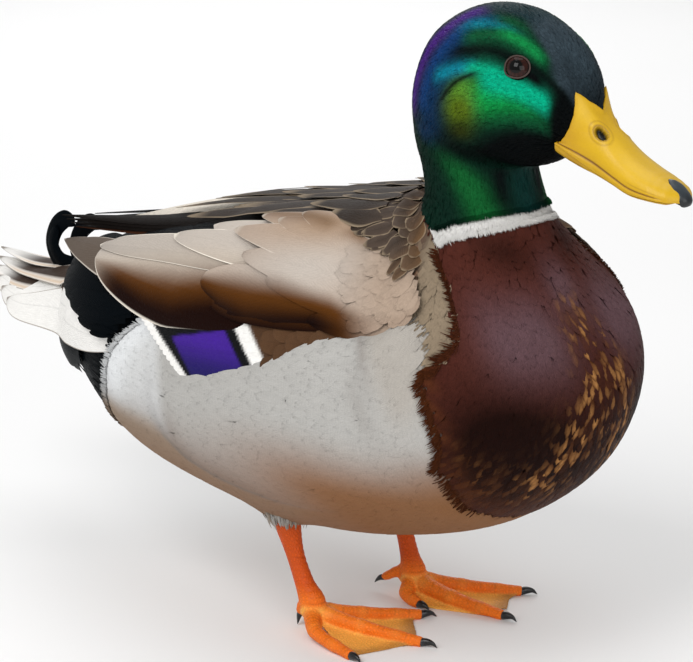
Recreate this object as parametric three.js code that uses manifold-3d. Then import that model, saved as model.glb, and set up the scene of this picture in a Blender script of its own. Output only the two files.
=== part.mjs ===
// A mallard drake standing still, life size, as a museum would show it.
//
// Millimetres, +Z up. The bird faces +X, its left side is +Y, and the floor is z = 0.
// The trunk, neck and head are one loft. Each section of it joins a point of the back's outline
// to a point of the belly's, so the two outlines are the bird's true profile. The folded wings
// and the flanks are plates laid over that loft.
import * as THREE from 'three';
import { mergeVertices } from 'three/addons/utils/BufferGeometryUtils.js';
import Module from 'manifold-3d';

const wasm = await Module();
wasm.setup();

// ---- Driving sizes ------------------------------------------------------------------------
const GAP = 0.35; // clearance between neighbouring pieces
const MIDDLE = -23; // x of the middle of the bird's length, before the origin is moved there
const BODY_STEPS = 2; // loft sections from one station to the next
const BODY_AROUND = 24; // points round a section

const COLOURS = {
  head: 0x0a6a48, neck: 0x0c4a38, breast: 0x4a2318, trunk: 0xb8b2a8, rump: 0x15181c,
  scapular: 0xa8998a, tertial: 0x8f7f70, covert: 0x5c4636, speculum: 0x4a2a96,
  primary: 0x2b2622, flank: 0xc4beb4, tail: 0xe9e6e0, bill: 0xe8bc1e, nail: 0x24282c,
  eye: 0x1c100c, leg: 0xe07018, claw: 0x1a1a1c,
};

// Stations of the loft, tail to bill. back and belly are [x, z] on the two outlines, half is the
// half-width, level is how far up the section is widest, and square is 2 for an ellipse.
const STATIONS = [
  { name: 'tail_root', back: [-160, 120], belly: [-165, 91], half: 13, level: 0.6, square: 2.0 },
  { name: 'coverts', back: [-143, 132], belly: [-150, 80], half: 27, level: 0.58, square: 2.0 },
  { name: 'vent', back: [-119, 144], belly: [-128, 66], half: 45, level: 0.56, square: 2.1 },
  { name: 'rump', back: [-88, 154], belly: [-92, 49], half: 58, level: 0.54, square: 2.2 },
  { name: 'hips', back: [-50, 164], belly: [-48, 41], half: 63, level: 0.53, square: 2.25 },
  { name: 'loins', back: [-12, 171], belly: [-1, 39], half: 65, level: 0.52, square: 2.25 },
  { name: 'shoulders', back: [20, 177], belly: [43, 45], half: 65, level: 0.5, square: 2.2 },
  { name: 'keel', back: [37, 181], belly: [87.5, 60], half: 62.5, level: 0.48, square: 2.1 },
  { name: 'breast', back: [43, 184], belly: [121.5, 87], half: 57, level: 0.47, square: 2.0 },
  { name: 'crop', back: [45, 186], belly: [134, 122.5], half: 48, level: 0.48, square: 2.0 },
  { name: 'neck_foot', back: [46, 188], belly: [114, 153], half: 35.5, level: 0.5, square: 2.0 },
  { name: 'collar', back: [46, 191], belly: [98, 175], half: 27, level: 0.5, square: 2.0 },
  { name: 'neck', back: [44, 199], belly: [90, 193], half: 23.5, level: 0.5, square: 2.0 },
  { name: 'throat', back: [39.5, 212], belly: [89, 200], half: 23.5, level: 0.5, square: 2.0 },
  { name: 'nape', back: [39, 231], belly: [92, 201.5], half: 25.5, level: 0.45, square: 2.0 },
  { name: 'cheek', back: [48.5, 249.5], belly: [97, 202.5], half: 27, level: 0.42, square: 2.1 },
  { name: 'crown', back: [67, 260.5], belly: [102, 204], half: 26.5, level: 0.45, square: 2.1 },
  { name: 'eyes', back: [87, 262], belly: [106, 206], half: 23.5, level: 0.48, square: 2.15 },
  { name: 'brow', back: [105, 256], belly: [110, 208], half: 19, level: 0.47, square: 2.1 },
  { name: 'forehead', back: [118, 245.5], belly: [112, 210], half: 14.5, level: 0.42, square: 2.1 },
  { name: 'bill_base', back: [125, 231], belly: [114, 212], half: 9.5, level: 0.4, square: 2.1 },
];

// Upper bill, base to tip: x, z of the mouth's edge, crest height over it, half-width, squareness.
const BILL = [
  [106, 214, 22, 7.5, 2.2],
  [116, 212.5, 21.5, 9, 2.3],
  [124, 210.5, 18, 9.3, 2.4],
  [132, 208.3, 14, 9.6, 2.5],
  [140, 205.4, 10.5, 10, 2.6],
  [148, 202.8, 8.8, 10.4, 2.6],
  [156, 201.7, 6.8, 9.9, 2.5],
  [162, 201.2, 5, 8, 2.4],
  [166, 200.8, 3.6, 5.4, 2.2],
  [168, 200.6, 2.2, 2.6, 2.0],
];
const BILL_AROUND = 8; // points over the top of the bill
const MOUTH = 0.5; // gap between the two halves of the bill
const LOWER_BILL = 3.2; // depth of the lower half at its base
const NAIL = { at: [164.5, 0, 203], radii: [6.8, 4, 9] }; // hard tip of the upper half

const EYE = { s: 17.6, turn: 66, radius: 5.4, sunk: 3.9 };

// Plates laid on the right side, and mirrored. Rows are [station, upper edge, lower edge, lift,
// thickness], edges in degrees round from the back; under lists the plates that lie over it.
const PLATES = {
  scapulars: {
    color: COLOURS.scapular, under: ['flank'],
    rows: [
      [8.55, 44, 60, 0.8, 0.8], [8.2, 26, 69, 0.8, 3], [7.5, 16, 69, 0.8, 5],
      [6.6, 12, 67, 0.8, 6.5], [5.8, 11, 67, 0.8, 6.8], [5.1, 12, 66, 0.8, 6],
      [4.6, 16, 60, 0.8, 4.6], [4.2, 27, 50, 0.8, 2.6],
    ],
  },
  tertials: {
    color: COLOURS.tertial, under: ['scapulars', 'flank'],
    rows: [
      [5.2, 16, 68, 0.8, 3.2], [4.6, 15, 69, 0.8, 3.6], [4.0, 16, 70, 0.8, 3.8],
      [3.4, 19, 70, 0.8, 3.4], [2.9, 26, 68, 1.4, 2.8], [2.5, 38, 62, 2.2, 1.8],
    ],
  },
  flank: {
    color: COLOURS.flank, under: [],
    rows: [
      [8.15, 72, 84, 1.6, 0.8], [7.9, 68, 106, 1.6, 2.2], [7.4, 67, 122, 1.5, 4.2],
      [6.8, 73, 130, 1.2, 4.6], [6.0, 78, 134, 0.8, 4.6], [5.2, 85, 134, 0.8, 4.4],
      [4.5, 91, 132, 0.8, 4], [4.0, 96, 127, 0.8, 3], [3.6, 104, 119, 0.8, 1.2],
    ],
  },
  coverts: {
    color: COLOURS.covert, under: ['scapulars', 'tertials', 'flank'],
    rows: [
      [7.2, 60, 78, 0.8, 1.6], [6.5, 60, 84, 0.8, 2.4], [5.9, 60, 88, 0.8, 2.4], [5.45, 60, 92, 0.8, 2],
    ],
  },
  secondaries: {
    color: COLOURS.speculum, under: ['scapulars', 'tertials', 'flank'],
    rows: [
      [5.4, 60, 94, 0.8, 2], [4.95, 60, 96, 0.8, 2.2], [4.5, 62, 96, 0.8, 2], [4.1, 66, 94, 0.8, 1.4],
    ],
  },
  primaries: {
    color: COLOURS.primary, under: ['scapulars', 'tertials'],
    rows: [
      [4.4, 6, 30, 0.8, 2], [3.4, 5, 34, 0.8, 2.4], [2.4, 6, 34, 1.2, 2.4], [1.6, 9, 30, 3, 2.2],
      [1.0, 14, 27, 5, 1.8], [0.6, 18, 24, 6.5, 1.2],
    ],
  },
};
const PLATE_WIDE = 6; // strips across a plate

// Tail feathers fan out about a pivot inside the rump. The first of each side is at the middle.
const TAIL = {
  pivot: [-124, 99], root: 20, reach: [89, 90, 87, 85, 82, 78], turn: [0, 4.4, 8.8, 13.2, 17.6, 22],
  width: 14, thick: 1.3, climb: 15, arch: 0.0095, step: 0.7,
};

// The curled feathers over the tail: [x, z] along the middle of the right one.
const CURL = {
  side: 7, lean: 3, width: 8, thick: 1.6,
  path: [
    [-146, 135], [-160, 124], [-174, 110], [-184, 114], [-185, 126], [-176, 134.5], [-165, 133], [-160, 125],
  ],
};

// Legs from the belly to the toes. Each point is [x, y, z] and each radius is fore-and-aft.
const ANKLE = 12.5; // height at which the shank ends and the foot starts
const THIGH = { radii: [15, 11.5, 11], height: 50 };
const LEGS = {
  R: {
    line: [[-15, -26.4, 52], [-13.5, -26.4, 44], [-9, -26.2, 30], [-3, -26.4, 18], [1.2, -26.4, 10]],
    toes: {
      inner: [[1.8, -26.4], [13, -8], [25.3, 12.1]],
      middle: [[1.8, -26.4], [24, -19], [46.8, -9.9]],
      outer: [[1.8, -26.4], [14, -36.5], [37, -40]],
      hind: [[-1, -27.5], [-4.5, -29], [-8.2, -29.6]],
    },
  },
  L: {
    line: [[-1, 26, 52], [-0.5, 26, 44], [1.5, 26.5, 30], [3.4, 28, 18], [4.4, 28.9, 10]],
    toes: {
      inner: [[4.6, 28.9], [11, 18.5], [21, 20.5]],
      middle: [[4.6, 28.9], [27, 30.5], [49.6, 34.9]],
      outer: [[4.6, 28.9], [20, 44], [36.2, 61.1]],
      hind: [[2, 27.6], [-3, 25.6], [-8, 24.2]],
    },
  },
};
const LEG_RADII = [7.2, 6.2, 4.1, 4.7, 5.6];
const TOE = { radii: [4, 3.3, 2.6], flat: 0.35, claw: 7.5, clawRadius: 1.7 };
const HIND = { radii: [2.4, 2.1, 1.7], heights: [9.5, 6.2, 3.6], claw: 4.2, clawRadius: 1.2 };
const WEB = { low: 1, thick: 1.6, hollow: 0.2 };

// ---- Making solids ------------------------------------------------------------------------
// A closed geometry from its points and its faces' index triples.
function surface(points, faces) {
  const geometry = new THREE.BufferGeometry().setFromPoints(points);
  geometry.setIndex(faces);
  return geometry;
}

// A manifold of a closed geometry, its faces turned to look outwards.
function solid(geometry) {
  const flat = geometry.index ? geometry.toNonIndexed() : geometry;
  const bare = new THREE.BufferGeometry().setAttribute('position', flat.getAttribute('position'));
  const merged = mergeVertices(bare, 1e-4);
  const faces = Uint32Array.from(merged.index.array);
  const vertProperties = merged.attributes.position.array;
  const make = (triVerts) => new wasm.Manifold(new wasm.Mesh({ numProp: 3, vertProperties, triVerts }));
  const made = make(faces);
  return made.volume() > 0 ? made : make(faces.reverse());
}

const joined = (pieces) => pieces.reduce((sum, piece) => sum.add(piece));
const less = (made, cutters) => cutters.reduce((rest, cutter) => rest.subtract(cutter), made);

const duck = new THREE.Group();
duck.name = 'mallard_drake';
duck.position.x = -MIDDLE;

// One named piece of the bird.
function add(name, made, color) {
  const got = made.getMesh();
  const geometry = new THREE.BufferGeometry();
  geometry.setAttribute('position', new THREE.BufferAttribute(got.vertProperties.slice(), 3));
  geometry.setIndex(new THREE.BufferAttribute(got.triVerts.slice(), 1));
  geometry.computeVertexNormals();
  const mesh = new THREE.Mesh(geometry, new THREE.MeshStandardMaterial({ color }));
  mesh.name = name;
  duck.add(mesh);
}

// A geometry's copy across the middle plane of the bird.
const mirrored = (geometry) => geometry.clone().scale(1, -1, 1);
const sided = (geometry, side) => (side === 'R' ? geometry : mirrored(geometry));

// A closed skin over rings of equal length, each end shut by a fan from its middle.
function loft(rings) {
  const around = rings[0].length;
  const points = rings.flat();
  const faces = [];
  for (let i = 0; i < rings.length - 1; i++) {
    for (let j = 0; j < around; j++) {
      const a = i * around + j;
      const b = i * around + ((j + 1) % around);
      faces.push(a, b, b + around, a, b + around, a + around);
    }
  }
  for (const end of [0, rings.length - 1]) {
    const middle = rings[end].reduce((sum, p) => sum.add(p), new THREE.Vector3()).divideScalar(around);
    points.push(middle);
    for (let j = 0; j < around; j++) {
      const a = end * around + j;
      const b = end * around + ((j + 1) % around);
      faces.push(...(end ? [a, b, points.length - 1] : [b, a, points.length - 1]));
    }
  }
  return surface(points, faces);
}

// An ellipse of points about a middle, spanned by two half-axes.
function ellipse(middle, across, upright, count) {
  return Array.from({ length: count }, (_, j) => {
    const turn = (2 * Math.PI * j) / count;
    const point = middle.clone().addScaledVector(across, Math.cos(turn));
    return point.addScaledVector(upright, Math.sin(turn));
  });
}

// A round bar through points, its radius given at each.
function bar(points, radii, count = 7, steps = 2) {
  const line = new THREE.CatmullRomCurve3(points);
  const size = new THREE.CatmullRomCurve3(radii.map((r, i) => new THREE.Vector3(i, r, 0)));
  const rings = [];
  for (let i = 0; i <= (points.length - 1) * steps; i++) {
    const t = i / ((points.length - 1) * steps);
    const way = line.getTangent(t);
    const hint = Math.abs(way.z) > 0.8 ? new THREE.Vector3(0, 1, 0) : new THREE.Vector3(0, 0, 1);
    const across = new THREE.Vector3().crossVectors(hint, way).normalize();
    const upright = new THREE.Vector3().crossVectors(way, across).normalize();
    const radius = size.getPoint(t).y;
    across.multiplyScalar(radius);
    upright.multiplyScalar(radius);
    rings.push(ellipse(line.getPoint(t), across, upright, count));
  }
  return loft(rings);
}

// A ball, stretched to three radii.
function ball(middle, radii, across = 16, tall = 10) {
  const geometry = new THREE.SphereGeometry(1, across, tall);
  return geometry.scale(...radii).translate(...middle);
}

// ---- The body's loft ----------------------------------------------------------------------
const LAST = STATIONS.length - 1;
const curve = (pick) => new THREE.CatmullRomCurve3(STATIONS.map(pick), false, 'catmullrom', 0.5);
const BACK = curve((s) => new THREE.Vector3(s.back[0], 0, s.back[1]));
const BELLY = curve((s) => new THREE.Vector3(s.belly[0], 0, s.belly[1]));
const SHAPE = curve((s) => new THREE.Vector3(s.half, s.level, s.square));
const at = (name) => STATIONS.findIndex((s) => s.name === name);

// The body's surface at station s, turn radians round from the ridge of the back by the right side.
function bodyPoint(s, turn) {
  const t = Math.min(Math.max(s / LAST, 0), 1);
  const shape = SHAPE.getPoint(t);
  const c = Math.cos(turn);
  const k = Math.sin(turn);
  const reach = c > 0 ? 1 - shape.y : shape.y;
  const up = shape.y + reach * Math.sign(c) * Math.abs(c) ** (2 / shape.z);
  const point = BELLY.getPoint(t).lerp(BACK.getPoint(t), up);
  point.y = -shape.x * Math.sign(k) * Math.abs(k) ** (2 / shape.z);
  return point;
}

// The way the body's surface faces at station s and turn.
function bodyFacing(s, turn) {
  const step = 0.02;
  const along = bodyPoint(s + step, turn).sub(bodyPoint(s - step, turn));
  const round = bodyPoint(s, turn + step).sub(bodyPoint(s, turn - step));
  return round.cross(along).normalize();
}

// A point standing off the body by lift.
const overBody = (s, turn, lift) => bodyPoint(s, turn).addScaledVector(bodyFacing(s, turn), lift);

// One ring of the loft, grown, then moved along the bird by shift.
function bodyRing(s, shift, grow) {
  const t = s / LAST;
  const across = BACK.getPoint(t).sub(BELLY.getPoint(t)).normalize();
  const along = new THREE.Vector3(across.z, 0, -across.x).multiplyScalar(shift);
  return Array.from({ length: BODY_AROUND }, (_, j) =>
    overBody(s, (2 * Math.PI * j) / BODY_AROUND, grow).add(along));
}

// The loft from one station to another, short of each by half the gap, or grown past it.
function bodyPiece(from, to, grow = 0) {
  const a = at(from);
  const count = (at(to) - a) * BODY_STEPS;
  const end = grow - GAP / 2;
  const shift = (i) => (i === 0 ? -end : i === count ? end : 0);
  return loft(Array.from({ length: count + 1 }, (_, i) => bodyRing(a + i / BODY_STEPS, shift(i), grow)));
}

// ---- Plates over the body -----------------------------------------------------------------
// A curved slab: two grids of points, outer and inner, closed by a wall round their edges.
function slab(outer, inner) {
  const long = outer.length;
  const wide = outer[0].length;
  const points = [...outer.flat(), ...inner.flat()];
  const under = long * wide;
  const faces = [];
  for (let i = 0; i < long - 1; i++) {
    for (let j = 0; j < wide - 1; j++) {
      const a = i * wide + j;
      faces.push(a, a + 1, a + wide + 1, a, a + wide + 1, a + wide);
      const b = under + a;
      faces.push(b, b + wide + 1, b + 1, b, b + wide, b + wide + 1);
    }
  }
  const edge = [];
  for (let j = 0; j < wide - 1; j++) edge.push(j);
  for (let i = 0; i < long - 1; i++) edge.push(i * wide + wide - 1);
  for (let j = wide - 1; j > 0; j--) edge.push((long - 1) * wide + j);
  for (let i = long - 1; i > 0; i--) edge.push(i * wide);
  edge.forEach((a, k) => {
    const b = edge[(k + 1) % edge.length];
    faces.push(a, under + a, under + b, a, under + b, b);
  });
  return surface(points, faces);
}

// A plate on the right side, or the same plate grown all round to cut its neighbours with.
function plate(rows, grow = 0) {
  const edges = new THREE.CatmullRomCurve3(rows.map((r) => new THREE.Vector3(r[0], r[1], r[2])));
  const depth = new THREE.CatmullRomCurve3(rows.map((r) => new THREE.Vector3(r[0], r[3], r[4])));
  const count = rows.length - 1;
  const outer = [];
  const inner = [];
  for (let i = 0; i <= count; i++) {
    const e = edges.getPoint(i / count);
    const d = depth.getPoint(i / count);
    const s = e.x + (i === 0 ? grow / 25 : i === count ? -grow / 25 : 0);
    const line = Array.from({ length: PLATE_WIDE + 1 }, (_, j) => j / PLATE_WIDE);
    const turn = (v) => THREE.MathUtils.degToRad(THREE.MathUtils.lerp(e.y - grow, e.z + grow, v));
    const swell = (v) => 0.7 + (d.z - 0.7) * Math.sqrt(Math.sin(Math.PI * THREE.MathUtils.clamp(v, 0, 1)));
    outer.push(line.map((v) => overBody(s, turn(v), d.y + swell(v) + grow)));
    inner.push(line.map((v) => overBody(s, turn(v), grow ? -2 : d.y)));
  }
  return slab(outer, inner);
}

// ---- Bill ---------------------------------------------------------------------------------
// Rings of the bill: the upper half over the mouth, or the lower half under it.
function billRings(upper) {
  const place = new THREE.CatmullRomCurve3(BILL.map((b) => new THREE.Vector3(b[0], b[1], b[2])));
  const shape = new THREE.CatmullRomCurve3(BILL.map((b) => new THREE.Vector3(b[0], b[3], b[4])));
  const count = BILL.length - 1;
  return Array.from({ length: count + 1 }, (_, i) => {
    const { x, y: mouth, z: crest } = place.getPoint(i / count);
    const { y: half, z: square } = shape.getPoint(i / count);
    const taper = 1 - i / count;
    const height = upper ? crest : -(0.9 + (LOWER_BILL - 0.9) * taper);
    const wide = upper ? half : half - 0.9;
    const start = upper ? mouth + MOUTH / 2 : mouth - MOUTH / 2;
    const arc = Array.from({ length: BILL_AROUND + 1 }, (_, j) => {
      const turn = (Math.PI * j) / BILL_AROUND;
      const c = Math.cos(turn);
      const y = wide * Math.sign(c) * Math.abs(c) ** (2 / square);
      return new THREE.Vector3(x, y, start + height * Math.sin(turn) ** (2 / square));
    });
    const floor = [-0.5, 0.5].map((part) => new THREE.Vector3(x, wide * part, start));
    return [...arc, ...floor];
  });
}

// ---- Tail ---------------------------------------------------------------------------------
// One tail feather: a flat blade with a round tip, out from the pivot and a little raised.
function tailFeather(index, side) {
  const turn = THREE.MathUtils.degToRad(TAIL.turn[index]);
  const reach = TAIL.reach[index];
  const way = new THREE.Vector3(-Math.cos(turn), -side * Math.sin(turn), 0);
  const across = new THREE.Vector3(way.y, -way.x, 0);
  const rows = [0, 0.75, 0.93, 1];
  const wide = [0.55, 1, 0.72, 0.2];
  const face = (lift) => rows.map((u, i) => [-1, 0, 1].map((v) => {
    const out = TAIL.root + (reach - TAIL.root) * u;
    const point = new THREE.Vector3(TAIL.pivot[0], 0, TAIL.pivot[1]).addScaledVector(way, out);
    point.addScaledVector(across, (v * wide[i] * TAIL.width) / 2);
    point.z += TAIL.climb * u - TAIL.arch * point.y ** 2 - index * TAIL.step + lift;
    return point;
  }));
  return slab(face(TAIL.thick / 2), face(-TAIL.thick / 2));
}

// The right curled feather: a ribbon that stands on edge along its path.
function curl() {
  const line = new THREE.CatmullRomCurve3(CURL.path.map(([x, z]) => new THREE.Vector3(x, 0, z)));
  const count = (CURL.path.length - 1) * 2;
  const rings = Array.from({ length: count + 1 }, (_, i) => {
    const t = i / count;
    const point = line.getPoint(t);
    const way = line.getTangent(t);
    point.y = -CURL.side - CURL.lean * t;
    const half = (CURL.width / 2) * (0.45 + 0.55 * Math.sin(Math.PI * Math.min(1, 0.25 + t * 0.75)));
    const across = new THREE.Vector3(0, half, 0);
    const upright = new THREE.Vector3(way.z, 0, -way.x).normalize().multiplyScalar(CURL.thick / 2);
    return ellipse(point, across, upright, 6);
  });
  return loft(rings);
}

// ---- Legs ---------------------------------------------------------------------------------
// A claw that carries a toe's line on and bends to the floor.
function claw(points, radius, length) {
  const end = points[points.length - 1];
  const way = end.clone().sub(points[points.length - 2]).setZ(0).normalize();
  const start = end.clone().addScaledVector(way, GAP + 0.4);
  const middle = start.clone().addScaledVector(way, length * 0.55);
  middle.z = start.z * 0.85;
  const tip = start.clone().addScaledVector(way, length);
  tip.z = 0.75;
  return bar([start, middle, tip], [radius, radius * 0.75, 0.35], 6, 2);
}

const floorCut = solid(new THREE.BoxGeometry(400, 400, 40).translate(0, 0, -20));

// The web between toes: a slab whose free edge is drawn in between the toe ends.
function web(toes) {
  const ends = [toes.inner, toes.middle, toes.outer].map((toe) => new THREE.Vector2(...toe[2]));
  const root = new THREE.Vector2(...toes.middle[0]);
  const outline = new THREE.Shape([root, new THREE.Vector2(...toes.inner[1]), ends[0]]);
  for (const [from, to] of [[0, 1], [1, 2]]) {
    const control = ends[from].clone().add(ends[to]).multiplyScalar(0.5).lerp(root, WEB.hollow);
    outline.quadraticCurveTo(control.x, control.y, ends[to].x, ends[to].y);
  }
  outline.lineTo(...toes.outer[1]);
  outline.closePath();
  const options = { depth: WEB.thick, bevelEnabled: false, curveSegments: 4 };
  return new THREE.ExtrudeGeometry(outline, options).translate(0, 0, WEB.low);
}

// ---- The bird -----------------------------------------------------------------------------
const bill = solid(loft(billRings(true)));
const lowerBill = solid(loft(billRings(false)));
const nailBall = (grow) => solid(ball(NAIL.at, NAIL.radii.map((r) => r + grow)));
const headGrown = solid(bodyPiece('nape', 'bill_base', GAP));
const eyes = {};
for (const side of ['R', 'L']) {
  const turn = THREE.MathUtils.degToRad(EYE.turn);
  const facing = bodyFacing(EYE.s, turn);
  const middle = bodyPoint(EYE.s, turn).addScaledVector(facing, -EYE.sunk);
  const globe = (grow) => ball(middle.toArray(), [1, 1, 1].map(() => EYE.radius + grow), 12, 8);
  eyes[side] = { globe: solid(sided(globe(0), side)), room: solid(sided(globe(GAP), side)) };
}

add('breast', solid(bodyPiece('keel', 'collar')), COLOURS.breast);
add('neck', solid(bodyPiece('collar', 'throat')), COLOURS.neck);
add('head', less(solid(bodyPiece('throat', 'bill_base')), [eyes.R.room, eyes.L.room]), COLOURS.head);
add('bill_upper', less(bill, [headGrown, nailBall(GAP)]), COLOURS.bill);
add('bill_nail', bill.intersect(nailBall(0)), COLOURS.nail);
add('bill_lower', less(lowerBill, [headGrown]), COLOURS.bill);
add('eye_R', eyes.R.globe, COLOURS.eye);
add('eye_L', eyes.L.globe, COLOURS.eye);

const trunkGrown = solid(bodyPiece('rump', 'keel', GAP));
const breastGrown = solid(bodyPiece('keel', 'collar', GAP));
const rumpGrown = solid(bodyPiece('tail_root', 'rump', GAP));
add('trunk', solid(bodyPiece('rump', 'keel')), COLOURS.trunk);
add('rump', solid(bodyPiece('tail_root', 'rump')), COLOURS.rump);

for (const [side, { line, toes }] of Object.entries(LEGS)) {
  const [x, y] = line[0];
  const thigh = (grow) => solid(ball([x, y, THIGH.height], THIGH.radii.map((r) => r + grow), 12, 8));
  add(`thigh_${side}`, less(thigh(0), [trunkGrown]), COLOURS.trunk);
  const leg = solid(bar(line.map((p) => new THREE.Vector3(...p)), LEG_RADII, 10, 2));
  const below = (height) => solid(new THREE.BoxGeometry(60, 60, 40).translate(x, y, height - 20));
  add(`shank_${side}`, less(leg, [thigh(GAP), trunkGrown, below(ANKLE + GAP)]), COLOURS.leg);
  const pieces = [leg.intersect(below(ANKLE)), solid(ball([...toes.middle[0], 7], [6.4, 6, 5.3], 8, 6))];
  const rooms = [];
  for (const [name, points] of Object.entries(toes)) {
    const hind = name === 'hind';
    const { radii, claw: length, clawRadius } = hind ? HIND : TOE;
    const height = (i) => (hind ? HIND.heights[i] : radii[i] - TOE.flat);
    const path = points.map(([px, py], i) => new THREE.Vector3(px, py, height(i)));
    add(`claw_${name}_${side}`, solid(claw(path, clawRadius, length)), COLOURS.claw);
    rooms.push(solid(claw(path, clawRadius + GAP, length)));
    pieces.push(solid(bar(path, radii)));
  }
  pieces.push(solid(web(toes)));
  add(`foot_${side}`, less(joined(pieces), [floorCut, ...rooms]), COLOURS.leg);
}

// Keeps the greatest body of a cut piece.
const greatest = (made) => made.decompose().sort((a, b) => b.volume() - a.volume())[0];

const fan = TAIL.turn.flatMap((_, i) => (i ? [tailFeather(i, 1), tailFeather(i, -1)] : [tailFeather(0, 1)]));
const tail = joined(fan.map(solid));
add('tail', greatest(less(tail, [rumpGrown])), COLOURS.tail);
for (const side of ['R', 'L']) {
  const room = (name) => solid(sided(plate(PLATES[name].rows, GAP * 1.2), side));
  for (const [name, { rows, under, color }] of Object.entries(PLATES)) {
    const cutters = [...under.map(room), trunkGrown, breastGrown, rumpGrown];
    add(`${name}_${side}`, greatest(less(solid(sided(plate(rows), side)), cutters)), color);
  }
  const curled = solid(sided(curl(), side));
  add(`curl_${side}`, greatest(less(curled, [rumpGrown, tail, room('primaries')])), COLOURS.rump);
}

export default duck;
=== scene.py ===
"""A mallard drake standing still: one skin, a coat of mesh feathers, horn bill, eyes, webbed feet."""
import math

import bpy
import numpy as np
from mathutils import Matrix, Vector


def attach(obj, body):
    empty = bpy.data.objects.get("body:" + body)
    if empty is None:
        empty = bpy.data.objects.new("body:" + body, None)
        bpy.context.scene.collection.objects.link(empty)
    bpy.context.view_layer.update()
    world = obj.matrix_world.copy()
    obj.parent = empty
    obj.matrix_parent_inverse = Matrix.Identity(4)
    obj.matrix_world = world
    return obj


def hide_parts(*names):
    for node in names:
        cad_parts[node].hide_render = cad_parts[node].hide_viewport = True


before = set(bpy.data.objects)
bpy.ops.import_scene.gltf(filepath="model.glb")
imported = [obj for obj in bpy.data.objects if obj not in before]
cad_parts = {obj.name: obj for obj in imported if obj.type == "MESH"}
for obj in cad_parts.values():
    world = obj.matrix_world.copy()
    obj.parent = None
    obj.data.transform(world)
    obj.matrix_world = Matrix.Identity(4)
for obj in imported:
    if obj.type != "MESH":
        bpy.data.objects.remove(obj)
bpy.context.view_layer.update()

bl_info = {
    "name": "Mallard Drake",
    "version": (1, 0, 0),
    "blender": (4, 5, 0),
    "location": "3D View > Sidebar > Mallard",
    "description": "Builds a life-size standing mallard drake with a coat of mesh feathers",
    "category": "Object",
}

MM = 0.001
ORIGIN_X = 23.0  # mm from the loft's own origin to the model's
TAU = 2.0 * math.pi

# ---------------------------------------------------------------- the bird's form, in millimetres
# Loft stations, tail to bill: back x, z, belly x, z, half width, level of the widest place, squareness.
STATIONS = np.array([
    [-160, 120, -165, 91, 13, .6, 2], [-143, 132, -150, 80, 27, .58, 2],
    [-119, 144, -128, 66, 45, .56, 2.1], [-88, 154, -92, 49, 58, .54, 2.2],
    [-50, 164, -48, 41, 63, .53, 2.25], [-12, 171, -1, 39, 65, .52, 2.25],
    [20, 177, 43, 45, 65, .5, 2.2], [37, 181, 87.5, 60, 62.5, .48, 2.1],
    [43, 184, 121.5, 87, 57, .47, 2], [45, 186, 134, 122.5, 48, .48, 2],
    [46, 188, 114, 153, 35.5, .5, 2], [46, 191, 98, 175, 27, .5, 2],
    [44, 199, 90, 193, 23.5, .5, 2], [39.5, 212, 89, 200, 23.5, .5, 2],
    [39, 231, 92, 201.5, 25.5, .45, 2], [48.5, 249.5, 97, 202.5, 27, .42, 2.1],
    [67, 260.5, 102, 204, 26.5, .45, 2.1], [87, 262, 106, 206, 23.5, .48, 2.15],
    [105, 256, 110, 208, 19, .47, 2.1], [118, 245.5, 112, 210, 14.5, .42, 2.1],
    [125, 231, 114, 212, 9.5, .4, 2.1],
])
LAST_STATION = 20.0  # the bill's root
EYE = {"s": 17.6, "turn": 66.0, "radius": 5.4, "sunk": 3.9}
THIGHS = ((-15.0, -26.4), (-1.0, 26.0))  # x, y of the two thighs

# Bulges that the wing and flank feathers lie over: station, upper edge, lower edge, lift, thickness.
SCAPULARS = np.array([
    [8.55, 40, 64, .8, 1.4], [8.2, 26, 69, .8, 3], [7.5, 16, 69, .8, 5], [6.6, 12, 67, .8, 6.5],
    [5.8, 11, 67, .8, 6.8], [5.1, 12, 66, .8, 6], [4.6, 16, 60, .8, 4.6], [4.2, 27, 50, .8, 2.6]])
TERTIALS = np.array([
    [5.2, 16, 72, .8, 3.4], [4.6, 15, 73, .8, 3.8], [4, 16, 74, .8, 3.8], [3.4, 19, 73, .8, 3.4],
    [2.9, 26, 68, 1.4, 2.8], [2.5, 38, 62, 2.2, 1.8]])
FLANK = np.array([
    [8.5, 78, 100, .6, 1.2], [8.15, 74, 112, 1, 3.2], [7.9, 70, 122, 1.2, 4.2], [7.4, 68, 130, 1.4, 5],
    [6.8, 72, 134, 1.2, 5], [6, 78, 138, .8, 4.8], [5.2, 85, 138, .8, 4.6], [4.5, 90, 136, .8, 4.4],
    [4, 95, 131, .8, 3.6], [3.6, 102, 124, .8, 1.6]])


def spline(table, t):
    """Catmull-Rom curve through a table's rows at t, carried straight on at both ends."""
    rows = np.concatenate([[2 * table[0] - table[1]], table, [2 * table[-1] - table[-2]]])
    i = np.clip(np.floor(t).astype(int), 0, len(table) - 2)
    f = (t - i)[..., None]
    p0, p1, p2, p3 = rows[i], rows[i + 1], rows[i + 2], rows[i + 3]
    slope = p2 - p0
    bend = 2 * p0 - 5 * p1 + 4 * p2 - p3
    twist = 3 * (p1 - p2) + p3 - p0
    return p1 + 0.5 * f * (slope + f * (bend + f * twist))


def power(value, exponent):
    """A power that keeps the value's sign."""
    return np.sign(value) * np.abs(value) ** exponent


def body(s, turn):
    """The loft at station s and turn radians from the ridge of the back by the right side: a
    superellipse in height and width between the belly's outline and the back's."""
    q = spline(STATIONS, np.asarray(s, float))
    c, k = np.cos(turn), np.sin(turn)
    level, root = q[..., 5], 2 / q[..., 6]
    up = level + np.where(c > 0, 1 - level, level) * power(c, root)
    x = q[..., 2] + (q[..., 0] - q[..., 2]) * up
    z = q[..., 3] + (q[..., 1] - q[..., 3]) * up
    return np.stack([x, -q[..., 4] * power(k, root), z], -1)


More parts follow.
